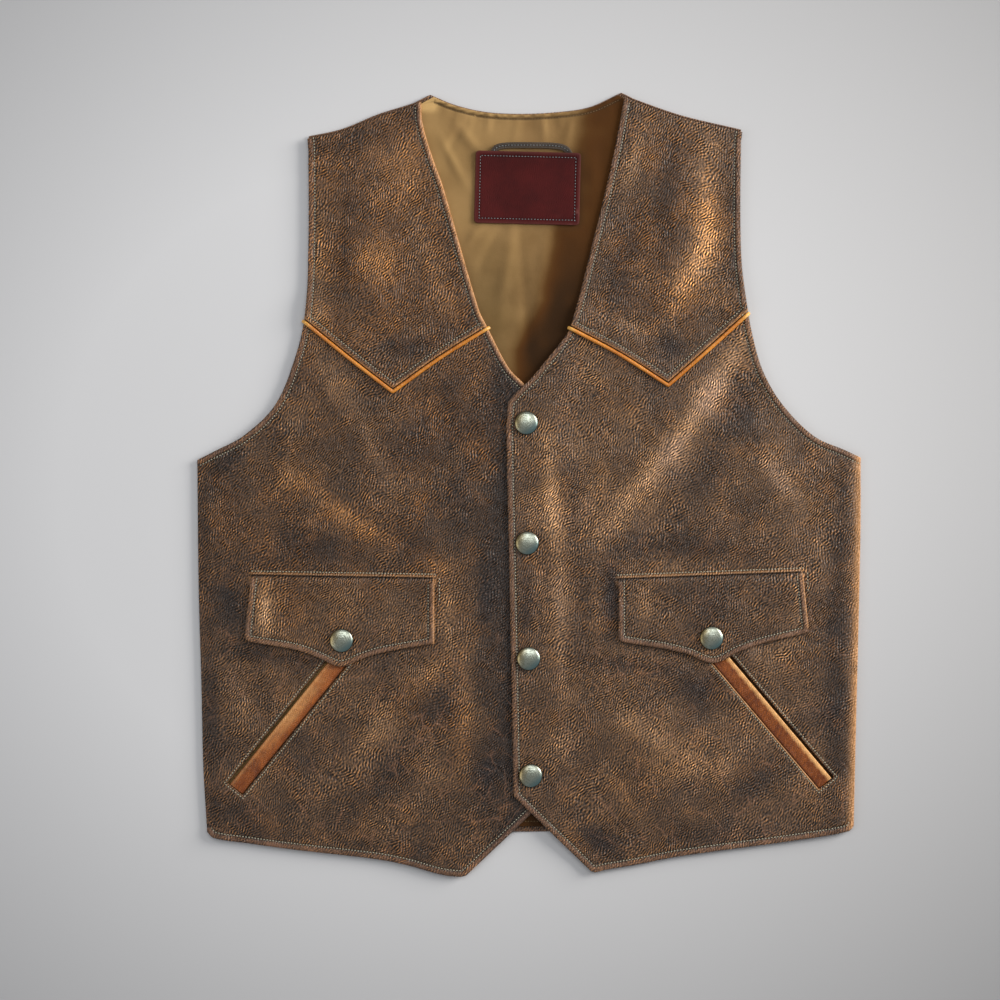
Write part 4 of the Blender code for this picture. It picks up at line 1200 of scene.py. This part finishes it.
def cord_tree():
    """A flattened round cord along the curves, a little uneven, with closed ends."""
    kit, given, out = geometry_tree("piping", {
        "Width": ("NodeSocketFloat", PIPING_WIDTH * MM), "Height": ("NodeSocketFloat", PIPING_HEIGHT * MM),
        "Uneven": ("NodeSocketFloat", 0.09), "Material": ("NodeSocketMaterial", None)})
    circle = kit.add("GeometryNodeCurvePrimitiveCircle", {"Resolution": 14, "Radius": 0.5})
    size = kit.add("ShaderNodeCombineXYZ", {"X": given["Width"], "Y": given["Height"], "Z": 1.0})
    profile = kit.add("GeometryNodeTransform", {"Geometry": circle.outputs[0], "Scale": size.outputs[0]})
    place = kit.add("GeometryNodeInputPosition")
    lumps = kit.add("ShaderNodeTexNoise", {"Vector": place.outputs[0], "Scale": 260.0, "Detail": 2.0})
    swell = kit.math("MULTIPLY_ADD", kit.math("SUBTRACT", lumps.outputs[0], 0.5),
                     kit.math("MULTIPLY", given["Uneven"], 4.0), 1.0)
    radius = kit.add("GeometryNodeSetCurveRadius", {"Curve": given["Geometry"], "Radius": swell})
    tube = kit.add("GeometryNodeCurveToMesh", {"Curve": radius.outputs[0],
                                               "Profile Curve": profile.outputs[0], "Fill Caps": True})
    if "Scale" in tube.inputs:
        kit.set(tube.inputs["Scale"], swell)
    real = kit.add("GeometryNodeRealizeInstances", {"Geometry": tube.outputs[0]})
    rounded = kit.add("GeometryNodeSetShadeSmooth", {"Geometry": real.outputs[0]})
    finished = kit.add("GeometryNodeSetMaterial", {"Geometry": rounded.outputs[0],
                                                   "Material": given["Material"]})
    kit.set(out["Geometry"], finished.outputs[0])
    return kit.tree


def along_paths(name, paths, tree, values):
    """The tree's result on curves through the paths, as a plain mesh with its place in it."""
    curve = bpy.data.curves.new(name + " paths", "CURVE")
    curve.dimensions = "3D"
    curve.twist_mode = "Z_UP"
    for path in paths:
        spline = curve.splines.new("POLY")
        spline.points.add(len(path) - 1)
        flat = np.column_stack([np.asarray(path) * MM, np.ones(len(path))])
        spline.points.foreach_set("co", flat.ravel())
    guide = bpy.data.objects.new(name + " guide", curve)
    bpy.context.scene.collection.objects.link(guide)
    modifier = guide.modifiers.new("along", "NODES")
    modifier.node_group = tree
    for item in tree.interface.items_tree:
        if item.in_out == "INPUT" and item.name in values:
            modifier[item.identifier] = values[item.name]
    evaluated = guide.evaluated_get(bpy.context.evaluated_depsgraph_get())
    mesh = bpy.data.meshes.new_from_object(evaluated)
    bpy.data.objects.remove(guide)
    mesh.name = name
    made = bpy.data.objects.new(name, mesh)
    bpy.context.scene.collection.objects.link(made)
    return made


def lifted_path(line, surface, lift=0.0, step=1.0):
    """A stitched line as points on a surface, a short step apart."""
    line = Line(line)
    total = line.along[-1] + line.reach[-1]
    stations = np.arange(0.0, total, step)
    knots = np.append(line.along, total)
    spots = np.column_stack([np.interp(stations, knots, line.points[:, i]) for i in (0, 1)])
    return np.column_stack([spots, surface(spots) + lift])


def cut_to(line, keep):
    """The longest stretch of a line whose points are kept."""
    best, current = [], []
    for point, kept in zip(line, keep):
        current = current + [point] if kept else []
        if len(current) > len(best):
            best = current
    return best


# Pieces

def finish(obj, material, slot, *nodes):
    """Give a piece its material, its body and the nodes that it stands for; slot is not used."""
    if not obj.data.materials:
        obj.data.materials.append(material)
    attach(obj, "root")
    if nodes:
        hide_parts(*nodes)
    return obj


def sheet(loop, size=None):
    """Work out a piece's flat size, by default that of its loop; the size is not kept or used."""
    if size is None:
        size = as_array(loop).max(0) - as_array(loop).min(0)


def edge_marks(shell, distances, inset, bead_share=1.0, painted_shadow_line=None):
    """Marks beside topstitched edges: worn, with a painted sheen, on the turned edge, and painted shade in
    the stitches' groove and along a painted shadow line.
    """
    far = np.min(distances, axis=0)
    rubbed = noise(shell.spots, 9.0, 77) * 0.5 + noise(shell.spots, 3.2, 78) * 0.4
    # Turned beads worn paler, with a painted sheen on their crests
    wear_and_sheen = np.exp(-((far - 2.2) / 1.7) ** 2) * (0.75 + 0.6 * rubbed) * bead_share
    # Painted shade in the stitches' groove and along the painted shadow line
    groove = np.exp(-((far - inset) / 0.9) ** 2)
    if painted_shadow_line is not None:
        groove = np.maximum(groove, np.exp(-painted_shadow_line ** 2))
    shell.mark("wear_and_sheen", np.clip(wear_and_sheen, 0, 1))
    shell.mark("groove", groove)


def build_front(front, leather):
    """The lower front, from the hem to under the yoke, with the pocket's window."""
    edges = front.edges
    if front.side == "right":
        order = [edges["closing"], edges["neck"], front.lap_edge[::-1], edges["armhole"],
                 edges["side"], edges["hem"], edges["point"]]
    else:
        order = [edges["closing"], edges["point"], edges["hem"], edges["side"],
                 edges["armhole"], front.lap_edge[::-1], edges["neck"]]
    loop = met_loop(order)
    first, *_, last = front.flap_edges["top"]
    beyond = (last - first).normalized() * FLAP_RUN_ON
    shell = Shell(f"front_{front.side}_leather", [loop, front.window], front.top, LEATHER_WALL,
                  LEATHER_MESH, crease=straight(first - beyond, last + beyond))
    distances = [hem.measure(shell.spots)[0] for hem in front.hems]
    # Painted shadow lines under the flap's top edge and along the yoke's edge
    under_flap = front.flap_top.measure(shell.spots)[0] * 1.3
    under_yoke = front.yoke_line.measure(shell.spots)[0] / 2.2
    edge_marks(shell, distances, STITCH_INSET, painted_shadow_line=np.minimum(under_flap, under_yoke))
    front.mark_hide(shell, front.bands, placket_painted_shadow=1.0)
    front.mark_painted_highlights(shell, "front")
    obj = finish(shell.object, leather, "main_leather", f"front_{front.side}")
    sheet(loop)


def build_yoke(front, leather):
    edges = front.edges
    order = [front.yoke_edge, edges["neck"], edges["shoulder"], edges["armhole"]]
    if front.side == "left":
        order = [front.yoke_edge, edges["armhole"], edges["shoulder"], edges["neck"]]
    loop = met_loop(order)
    shell = Shell(f"yoke_{front.side}_leather", [loop], front.yoke_top, LEATHER_WALL, LEATHER_MESH)
    distances = [hem.measure(shell.spots)[0] for hem in front.hems]
    own, _ = front.yoke_line.measure(shell.spots)
    distances.append(own * STITCH_INSET / YOKE_STITCH_INSET)
    edge_marks(shell, distances, STITCH_INSET, 0.2 + 0.8 * ease((own - 5.0) / 3.0))
    front.mark_hide(shell, front.bands)
    front.mark_painted_highlights(shell, "yoke")
    obj = finish(shell.object, leather, "main_leather", f"yoke_{front.side}")
    sheet(loop)


def build_flap(front, leather):
    shell = Shell(f"flap_{front.side}_leather", [front.flap_loop], front.flap_surface, LEATHER_WALL,
                  2.0, rim=1.0)
    far, _ = front.flap_line.measure(shell.spots)
    top_far, _ = front.flap_top.measure(shell.spots)
    far = np.where(top_far < far + 0.05, 30.0, far)
    # Painted shadow line along the flap's top edge, under the front's fold
    edge_marks(shell, [far], STITCH_INSET, 1.1, painted_shadow_line=top_far)
    front.mark_hide(shell, front.flap_bands, FLAP_TONE[front.side])
    front.mark_painted_highlights(shell, "flap")
    obj = finish(shell.object, leather, "main_leather", f"flap_{front.side}")
    sheet(front.flap_loop)


def build_welt(front, leather):
    width = WINDOW_WIDTH - GAP - POCKET_MOUTH
    loop = front.pocket_loop(width, (POCKET_MOUTH - GAP) / 2, GAP)[::-1]
    shell = Shell(f"welt_{front.side}_strip", [loop], front.welt_top, LEATHER_WALL - GAP, 1.6, rim=0.8,
                  rings=(1.3, 1.9, 2.6))
    along, out = front.pocket_places(shell.spots)
    streaks = noise(np.column_stack([along + 0.6 * out, out * 0.2]), 2.6, 43)
    # Painted sheen along the welt and a painted highlight on its outer fold
    if front.side == "right":
        sheen = 0.34 * np.exp(-((along - 84.0) / 36.0) ** 2) * ease((out + 5.0) / 5.0)
        sheen += 0.22 * np.exp(-((out - 4.4) / 1.0) ** 2)
        tone = 0.45 * ease(along / 110.0) - 0.25
    else:
        sheen = 0.82 * ease((out - 2.2) / 2.0)
        tone = np.full(len(out), -0.35)
    shell.mark("wear_and_sheen", np.clip(sheen * (1 + 0.3 * streaks), 0, 1))
    shell.mark("tone", tone + 0.15 * streaks)
    # Painted shade along the window's inner side
    shell.mark("groove", np.exp(-((out + WINDOW_WIDTH / 2 - 0.6) / 0.8) ** 2))
    obj = finish(shell.object, leather, "welt_leather", f"welt_{front.side}")
    sheet(loop, size=(WINDOW_LENGTH, width))


def build_piping(front, tree, leather):
    """Piping along the yoke's edge, its ends turned down over the armhole and the neck."""
    path = lifted_path(shifted(front.seam, PIPING_OFFSET), front.ground, GAP + PIPING_HEIGHT / 2 + 0.1, 0.8)
    spots = path[:, :2]
    path = path[front.outline.inside(spots) | (front.outline.measure(spots)[0] < 1.3)]
    fall = 2.3 * (1 - np.arange(6) / 6) ** 2
    for end in (path[:6], path[::-1][:6]):
        end[:, 2] -= fall
    obj = along_paths(f"piping_{front.side}_cord", [path], tree,
                      {"Width": PIPING_WIDTH * MM, "Height": PIPING_HEIGHT * MM, "Material": leather})
    spots = np.array([vertex.co[:2] for vertex in obj.data.vertices]) / MM
    mark(obj, "wear_and_sheen", 0.6 * np.exp(-(front.outline.measure(spots)[0] / 5.0) ** 2))
    finish(obj, leather, "piping_leather", f"piping_{front.side}")


def build_stitches(front, tree, pale):
    """Every stitched row of one front, its yoke, flap and pocket."""
    flat_rows = {"edge": [], "yoke": [], "flap": []}
    for run in front.runs:
        row = shifted(run, STITCH_INSET)
        spots = as_array(row)
        far = np.min([hem.measure(spots)[0] for hem in front.hems], axis=0)
        inside = front.outline.inside(spots) & (far > STITCH_INSET * 0.93)
        above = front.yoke_line.above(spots)
        low = [point for point, kept in zip(row, inside & ~above) if kept]
        flat_rows["edge"] += split_rows(low)
        high = [point for point, kept in zip(row, inside & above) if kept]
        flat_rows["yoke"] += split_rows(high)
    yoke_row = shifted(front.yoke_edge, YOKE_STITCH_INSET)
    spots = as_array(yoke_row)
    keep = front.outline.inside(spots) & (front.outline.measure(spots)[0] > 3.0)
    flat_rows["yoke"].append(cut_to(yoke_row, keep))
    flap = [front.flap_edges[name] for name in FLAPS[front.side] if name != "top"]
    flap_run = run_of(*flap)
    row = shifted(flap_run, STITCH_INSET)
    spots = as_array(row)
    own = Line(flap_run)
    keep = (own.measure(spots)[0] > STITCH_INSET * 0.85) & (front.flap_top.measure(spots)[0] > 2.5)
    flat_rows["flap"].append([point for point, kept in zip(row, keep) if kept])
    above = shifted(front.flap_edges["top"], -FLAP_ROW_ABOVE)
    flat_rows["edge"].append(above)
    flat_rows["edge"].append(straight(*FLAP_BARS[front.side]))
    ring = shifted(front.window, WINDOW_STITCH, closed=True)
    spots = as_array(ring)
    clear = ~front.flap_line.inside(spots)
    start = int(np.argmin(clear))
    turned = ring[start:] + ring[:start]
    kept = [p for p, ok in zip(turned, np.roll(clear, -start)) if ok]
    flat_rows["edge"] += split_rows(kept)
    surfaces = {"edge": front.top, "yoke": front.yoke_top, "flap": front.flap_surface}
    paths = []
    for place, rows in flat_rows.items():
        paths += [lifted_path(row, surfaces[place], 0.25) for row in rows if len(row) > 2]
    obj = along_paths(f"stitches_{front.side}", paths, tree, {"Material": pale})
    finish(obj, pale, "main_leather")


def split_rows(points, least=6.0):
    """Rows from points in order, cut wherever two neighbours lie apart."""
    rows, row = [], []
    for point in points:
        if row and (point - row[-1]).length > least:
            rows.append(row)
            row = []
        row.append(point)
    return rows + [row] if row else rows


def snap_profile():
    """The cap's half section from its centre out: (radius, height)."""
    dome = [(SNAP_RADIUS * math.sin(t), SNAP_RIM + (SNAP_HEIGHT - SNAP_RIM) * math.cos(t))
            for t in (math.pi / 2 * i / 16 for i in range(1, 14))]
    edge = [(SNAP_RADIUS * 0.985, SNAP_RIM + 0.25), (SNAP_RADIUS, SNAP_RIM), (SNAP_RADIUS, 0.35),
            (SNAP_RADIUS * 0.97, 0.0), (SNAP_RADIUS * 0.8, 0.0)]
    return dome + edge


def build_snap(name, centre, seat, silver):
    profile = snap_profile()
    places = [(centre[0], centre[1], seat + SNAP_HEIGHT)]
    for radius, up in profile:
        for i in range(SNAP_SIDES):
            angle = math.tau * i / SNAP_SIDES
            places.append((centre[0] + radius * math.cos(angle), centre[1] + radius * math.sin(angle),
                           seat + up))
    places.append((centre[0], centre[1], seat))
    ring = np.arange(SNAP_SIDES)
    after = (ring + 1) % SNAP_SIDES
    faces = [(0, 1 + i, 1 + j) for i, j in zip(ring, after)]
    for k in range(len(profile) - 1):
        first, second = 1 + k * SNAP_SIDES, 1 + (k + 1) * SNAP_SIDES
        faces += [(first + i, second + i, second + j, first + j) for i, j in zip(ring, after)]
    last = 1 + (len(profile) - 1) * SNAP_SIDES
    faces += [(len(places) - 1, last + j, last + i) for i, j in zip(ring, after)]
    obj = mesh_object(name + "_cap", np.array(places) * MM, [tuple(int(v) for v in f) for f in faces])
    for attribute_name, values in zip(("across", "along"), np.array(places).T):
        mark(obj, attribute_name, (values - values[0]) / SNAP_RADIUS)
    finish(obj, silver, "snap_silver", name)


def seat_over(surface, centre):
    """Level of the highest leather under a cap."""
    angles = np.linspace(0, math.tau, 24, endpoint=False)
    ring = np.column_stack([np.cos(angles), np.sin(angles)])
    spots = np.vstack([np.array(centre) + ring * SNAP_RADIUS * share for share in (0.1, 0.5, 0.85)])
    return float(surface(spots).max()) + 0.05


def build_back(leather):
    edges = back_edges()
    shoulders = [Line(edges["shoulder_left"]), Line(edges["shoulder_right"])]
    neck = Line(edges["neck"])
    hem = Line(edges["hem"])
    loop = met_loop(edges.values())

    def top(spots):
        near = np.min([line.measure(spots)[0] for line in shoulders], axis=0)
        return BACK_WALL + SHOULDER_ROLL * ease(1 - near / SHOULDER_ROLL_WIDTH)

    shell = Shell("back_panel_leather", [loop], top, BACK_WALL, 9.0, rim=0.75,
                  rings=(1.4, 2.4, 4.0, 6.5, 9.5))
    near = np.min([line.measure(shell.spots)[0] for line in (*shoulders, neck, hem)], axis=0)
    # Paler along the edges, worn and with a painted sheen, and painted shade in the stitches' groove
    shell.mark("wear_and_sheen", 0.8 * np.exp(-(near / 2.0) ** 2))
    shell.mark("groove", 0.6 * np.exp(-((near - 3.2) / 0.8) ** 2))
    shell.mark("tone", 0.4 * noise(shell.spots, 40.0, 91))
    shell.mark("warmth", 0.3 * noise(shell.spots, 30.0, 92))
    shell.mark("veins", np.full(len(shell.spots), 0.5))
    obj = finish(shell.object, leather, "main_leather", "back_panel")
    sheet(loop)
    return edges


def build_lining(edges, fronts, cotton, tree, khaki_thread):
    inner = [shifted(edge, LINING_INSETS[name.split("_")[0]]) for name, edge in edges.items()]
    loop = met_loop(inner)
    neck = Line(edges["neck"])
    hem = Line(edges["hem"])
    openings = [Line(front.edges["neck"]) for front in fronts]

    def shown(spots):
        covered = fronts[0].outline.inside(spots) | fronts[1].outline.inside(spots)
        return ~covered

    def near_opening(spots):
        return shown(spots) & (spots[:, 1] > 50.0)

    def top(spots):
        clear = np.min([line.measure(spots)[0] for line in openings], axis=0)
        open_share = ease((clear - 1.0) / 14.0) * shown(spots)
        edge_far, place = neck.measure(spots)
        height = open_share * np.maximum(folds_over(LINING_FOLDS, spots), -0.8)
        height += open_share * 0.3 * noise(spots, 21.0, 31)
        slant = np.column_stack([place + edge_far * 0.9, np.zeros(len(spots))])
        twist = noise(slant, 2.1, 33) * 0.6 + 0.4 * np.sin(place * 1.9 + edge_far * 1.4)
        pulled = 0.5 + 0.5 * ease((25.0 - spots[:, 0]) / 35.0)
        band = np.exp(-((edge_far - 2.5) / 1.9) ** 2)
        height += band * (0.8 + 0.75 * twist * pulled)
        height -= 0.5 * np.exp(-((edge_far - LINING_STITCH) / 0.9) ** 2)
        gather = noise(np.column_stack([place, np.full(len(spots), 5.0)]), 5.0, 35)
        height += 0.6 * gather * pulled * np.exp(-((edge_far - LINING_STITCH - 2) / 9.0) ** 2) * open_share
        return LINING_TOP + height

    shell = Shell("back_lining_cotton", [loop], top, LINING_WALL, 2.0, rim=0.5,
                  rings=(1.0, 1.7, 2.4, 3.1, 3.8, 4.5, 5.2, 6.0, 7.2, 9.0), fine=near_opening)
    neck_far, _ = neck.measure(shell.spots)
    hem_far, _ = hem.measure(shell.spots)
    label_far, _ = Line(label_loop(), closed=True).measure(shell.spots)
    # Painted shade in the stitches' grooves, on slopes turned away from the window and round the label
    groove = np.exp(-((neck_far - LINING_STITCH) / 0.9) ** 2)
    groove += 0.5 * np.exp(-((hem_far - LINING_HEM_STITCH) / 0.9) ** 2)
    away = top(shell.spots + (0.8, 0.4)) - top(shell.spots - (0.8, 0.4))
    groove += np.clip(0.55 * away, 0, 0.7) + 0.4 * np.exp(-(label_far / 3.5) ** 2)
    shell.mark("groove", np.clip(groove, 0, 1))
    x, y = shell.spots.T
    # Painted shadow beside the left front's neck edge, browned by light off the leather
    past = x - np.interp(y, *LINING_PAINTED_SHADOW_EDGE)
    brown = 0.55 * ease((past + 13.0) / 28.0) + 0.45 * ease((past - 2.0) / 18.0) * ease((240.0 - y) / 110.0)
    shell.mark("brown", np.clip(brown * (1 + 0.15 * noise(shell.spots, 12.0, 37)), 0, 1))
    # Paler places: the shoulder tip, the upper left, and painted light on slopes that face the window
    tip = ease((-74.0 - x) / 9.0) * ease((y - 314.0) / 9.0)
    pale = 0.3 * ease((20.0 - x) / 60.0) * ease((y - 170.0) / 60.0) + np.clip(-0.5 * away, 0, 0.3)
    shell.mark("tone", np.clip(tip + pale + 0.08 * noise(shell.spots, 16.0, 39), 0, 1))
    shell.mark("olive", 0.35 * ease((225.0 - y) / 70.0) * ease((10.0 - x) / 50.0))
    obj = finish(shell.object, cotton, "lining_cotton", "back_lining")
    sheet(loop)
    neck_row = shifted(edges["neck"], LINING_STITCH)
    hem_row = [p for p in shifted(edges["hem"], LINING_HEM_STITCH) if -30.0 < p.x < 34.0]
    paths = [lifted_path(row, top, 0.1) for row in (neck_row, hem_row)]
    rows = along_paths("stitches_lining", paths, tree, {"Pitch": 2.5 * MM, "Length": 1.8 * MM,
                                                        "Width": 0.6 * MM, "Material": khaki_thread})
    finish(rows, khaki_thread, "lining_cotton")


def label_loop():
    """The label's outline: a rectangle with small round corners, slightly turned."""
    half_width, half_height = LABEL_SIZE[0] / 2, LABEL_SIZE[1] / 2
    cosine, sine = math.cos(math.radians(LABEL_TURN)), math.sin(math.radians(LABEL_TURN))
    corners = []
    for quarter, (sign_x, sign_y) in enumerate(((1, -1), (1, 1), (-1, 1), (-1, -1))):
        centre = Vector((sign_x * (half_width - LABEL_CORNER), sign_y * (half_height - LABEL_CORNER)))
        for i in range(5):
            angle = math.radians(90 * (quarter - 1) + 22.5 * i)
            spot = centre + Vector((math.cos(angle), math.sin(angle))) * LABEL_CORNER
            turned = Vector((spot.x * cosine - spot.y * sine, spot.x * sine + spot.y * cosine))
            corners.append(turned + Vector(LABEL_CENTRE))
    return chain(*(straight(a, b, 2.0) for a, b in zip(corners, corners[1:] + corners[:1])))


def build_label(leather, strap_leather, tree, pale):
    loop = label_loop()
    line = Line(loop, closed=True)
    top_level = LINING_TOP + GAP + LABEL_WALL

    def top(spots):
        far, place = line.measure(spots)
        relief = 0.35 * stitched_relief(far, place, LABEL_STITCH, 21)
        below = LABEL_CENTRE[1] + LABEL_SIZE[1] / 2 - spots[:, 1]
        lift = LABEL_LIFT * ease(1 - (below - 5.0) / 18.0)
        corner = bump_share(spots, 44.0, 222.0, 16.0, 12.0, 40.0)
        return top_level + relief + 0.3 * noise(spots, 24.0, 23) + 0.15 + lift + 0.8 * corner

    shell = Shell("label_bare", [loop], top, LABEL_WALL, 2.0, rim=0.5,
                  rings=(1.0, 1.7, 2.4, 3.0, 3.5, 4.0, 4.7, 6.0))
    far, _ = line.measure(shell.spots)
    corner = np.hypot(shell.spots[:, 0] - 42.0, shell.spots[:, 1] - 223.0)
    scuffs = np.clip(noise(shell.spots, 4.0, 25) * 1.2 - 0.3, 0, 1) * np.exp(-(corner / 10.0) ** 2)
    shell.mark("wear_and_sheen", np.clip(0.10 * np.exp(-(far / 1.6) ** 2) + 0.6 * scuffs, 0, 1))
    x, y = shell.spots.T
    shell.mark("tone", 0.5 * ease((-20.0 - x) / 25.0) - 0.4 * ease((y - 262.0) / 18.0))
    # Painted shade in the stitches' groove
    shell.mark("groove", 0.8 * np.exp(-((far - LABEL_STITCH) / 0.8) ** 2))
    obj = finish(shell.object, leather, "label_leather", "label")
    border = shifted(loop, LABEL_STITCH, closed=True)
    border = [p for p in border if line.measure(as_array([p]))[0][0] > LABEL_STITCH * 0.93]
    rows = [lifted_path(border + border[:1], top, 0.1)]

    path = smooth(LOOP_PATH, 2.0)
    strap = shifted(path, LOOP_WIDTH / 2)[::-1] + shifted(path, -LOOP_WIDTH / 2)
    middle = Line(path)

    def strap_top(spots):
        off, _ = middle.measure(spots)
        arch = 1.3 * ease((spots[:, 1] - 280.5) / 5.0)
        rounding = 0.35 * (1 - (off / LOOP_WIDTH * 2) ** 2) - 0.2 * np.exp(-(off / 0.6) ** 2)
        return LINING_TOP + 0.1 + LOOP_WALL + arch + rounding * (0.3 + 0.5 * arch)

    band = Shell("hanger_strap", [strap], strap_top, LOOP_WALL, 1.2, rim=0.4, rings=(0.8, 1.4))
    off, _ = middle.measure(band.spots)
    # Paler along the strap's rounded sides, and painted shade along its stitched middle
    band.mark("wear_and_sheen", 0.18 * np.exp(-((off - 2.1) / 0.6) ** 2))
    band.mark("groove", np.exp(-(off / 0.7) ** 2))
    strap_obj = finish(band.object, strap_leather, "loop_leather", "hanger_loop")
    sheet(loop)
    rows.append(lifted_path([p for p in path if p.y > 284.0], strap_top, 0.1))
    stitches = along_paths("stitches_label", rows, tree, {"Pitch": 2.6 * MM, "Length": 1.5 * MM,
                                                          "Width": 0.7 * MM, "Material": pale})
    finish(stitches, pale, "label_leather")


# Floor, lights and camera

def build_floor(material):
    reach, level = 3.0, -0.0003
    corners = [(-reach, -reach, level), (reach, -reach, level),
               (reach, reach, level), (-reach, reach, level)]
    floor = mesh_object("pale_floor", np.array(corners), [(0, 1, 2, 3)])
    floor.data.materials.append(material)


def add_light(name, place, aim, size, power, colour):
    light = bpy.data.lights.new(name, "AREA")
    light.shape = "RECTANGLE"
    light.size, light.size_y = size
    light.energy = power
    light.color = colour
    made = bpy.data.objects.new(name, light)
    made.location = place
    made.rotation_euler = (Vector(aim) - Vector(place)).to_track_quat("-Z", "Y").to_euler()
    made.visible_camera = False
    bpy.context.scene.collection.objects.link(made)


def light_scene():
    world = bpy.data.worlds.new("studio")
    world.use_nodes = True
    backdrop = world.node_tree.nodes["Background"]
    backdrop.inputs["Color"].default_value = (0.92, 0.93, 0.95, 1.0)
    backdrop.inputs["Strength"].default_value = 0.26
    bpy.context.scene.world = world
    add_light("window", (1.9, 0.75, 0.85), (0.0, 0.0, 0.0), (1.1, 1.1), 56.0, (1.0, 0.97, 0.93))
    add_light("overhead", (0.1, 0.9, 2.3), (0.0, 0.0, 0.0), (1.8, 1.2), 16.0, (0.97, 0.98, 1.0))
    add_light("far fill", (-1.8, -0.4, 1.3), (0.0, 0.0, 0.0), (1.4, 1.4), 8.0, (0.95, 0.97, 1.0))


def add_camera():
    """Straight above, with the photograph's framing."""
    width = FRAME_PIXELS * PIXEL
    middle_x = (FRAME_PIXELS / 2 - ORIGIN_PIXEL[0]) * PIXEL
    middle_y = (ORIGIN_PIXEL[1] - FRAME_PIXELS / 2) * PIXEL
    data = bpy.data.cameras.new("camera")
    data.lens = LENS
    data.sensor_width = SENSOR
    data.clip_start, data.clip_end = 0.05, 20.0
    camera = bpy.data.objects.new("camera", data)
    camera.location = (middle_x, middle_y, width * LENS / SENSOR + FRONT_TOP * MM)
    bpy.context.scene.collection.objects.link(camera)
    bpy.context.scene.camera = camera


def main():
    add_camera()
    light_scene()
    bpy.context.scene.view_settings.view_transform = "Standard"
    build_floor(floor_material())

    grain = hide_grain_group()
    leather = main_leather(grain)
    piping = smooth_leather("orange piping leather", grain, linear(184, 102, 26), linear(232, 152, 52),
                            linear(250, 200, 104), 0.34, 0.4, 0.0, 0.6)
    welt = smooth_leather("rust welt leather", grain, linear(118, 58, 19), linear(174, 96, 38),
                          linear(246, 186, 118), 0.38, 0.8, 1.2)
    burgundy = smooth_leather("burgundy label leather", grain, linear(60, 16, 16), linear(82, 25, 24),
                              linear(176, 120, 108), 0.7, 0.25, 0.15, 0.12)
    strap = smooth_leather("dark strap leather", grain, linear(48, 39, 31), linear(68, 55, 43),
                           linear(120, 102, 82), 0.65)
    cotton = lining_cotton()
    silver = antique_silver()
    pale = thread("pale thread", linear(208, 201, 174), linear(122, 116, 99))
    cool = thread("cool pale thread", linear(160, 164, 164), linear(90, 92, 94))
    khaki = thread("khaki thread", linear(146, 118, 76), linear(84, 64, 38))
    rows, cords = stitch_tree(), cord_tree()

    fronts = [Front("right"), Front("left")]
    edges = build_back(leather)
    build_lining(edges, fronts, cotton, rows, khaki)
    build_label(burgundy, strap, rows, cool)
    for front in fronts:
        build_front(front, leather)
        build_yoke(front, leather)
        build_flap(front, leather)
        build_welt(front, welt)
        build_piping(front, cords, piping)
        build_stitches(front, rows, pale)
        centre = FLAP_SNAPS[front.side]
        build_snap(f"snap_flap_{front.side}", centre, seat_over(front.flap_surface, centre), silver)
    for number, centre in enumerate(FRONT_SNAPS, start=1):
        build_snap(f"snap_front_{number}", centre, seat_over(fronts[1].top, centre), silver)


main()
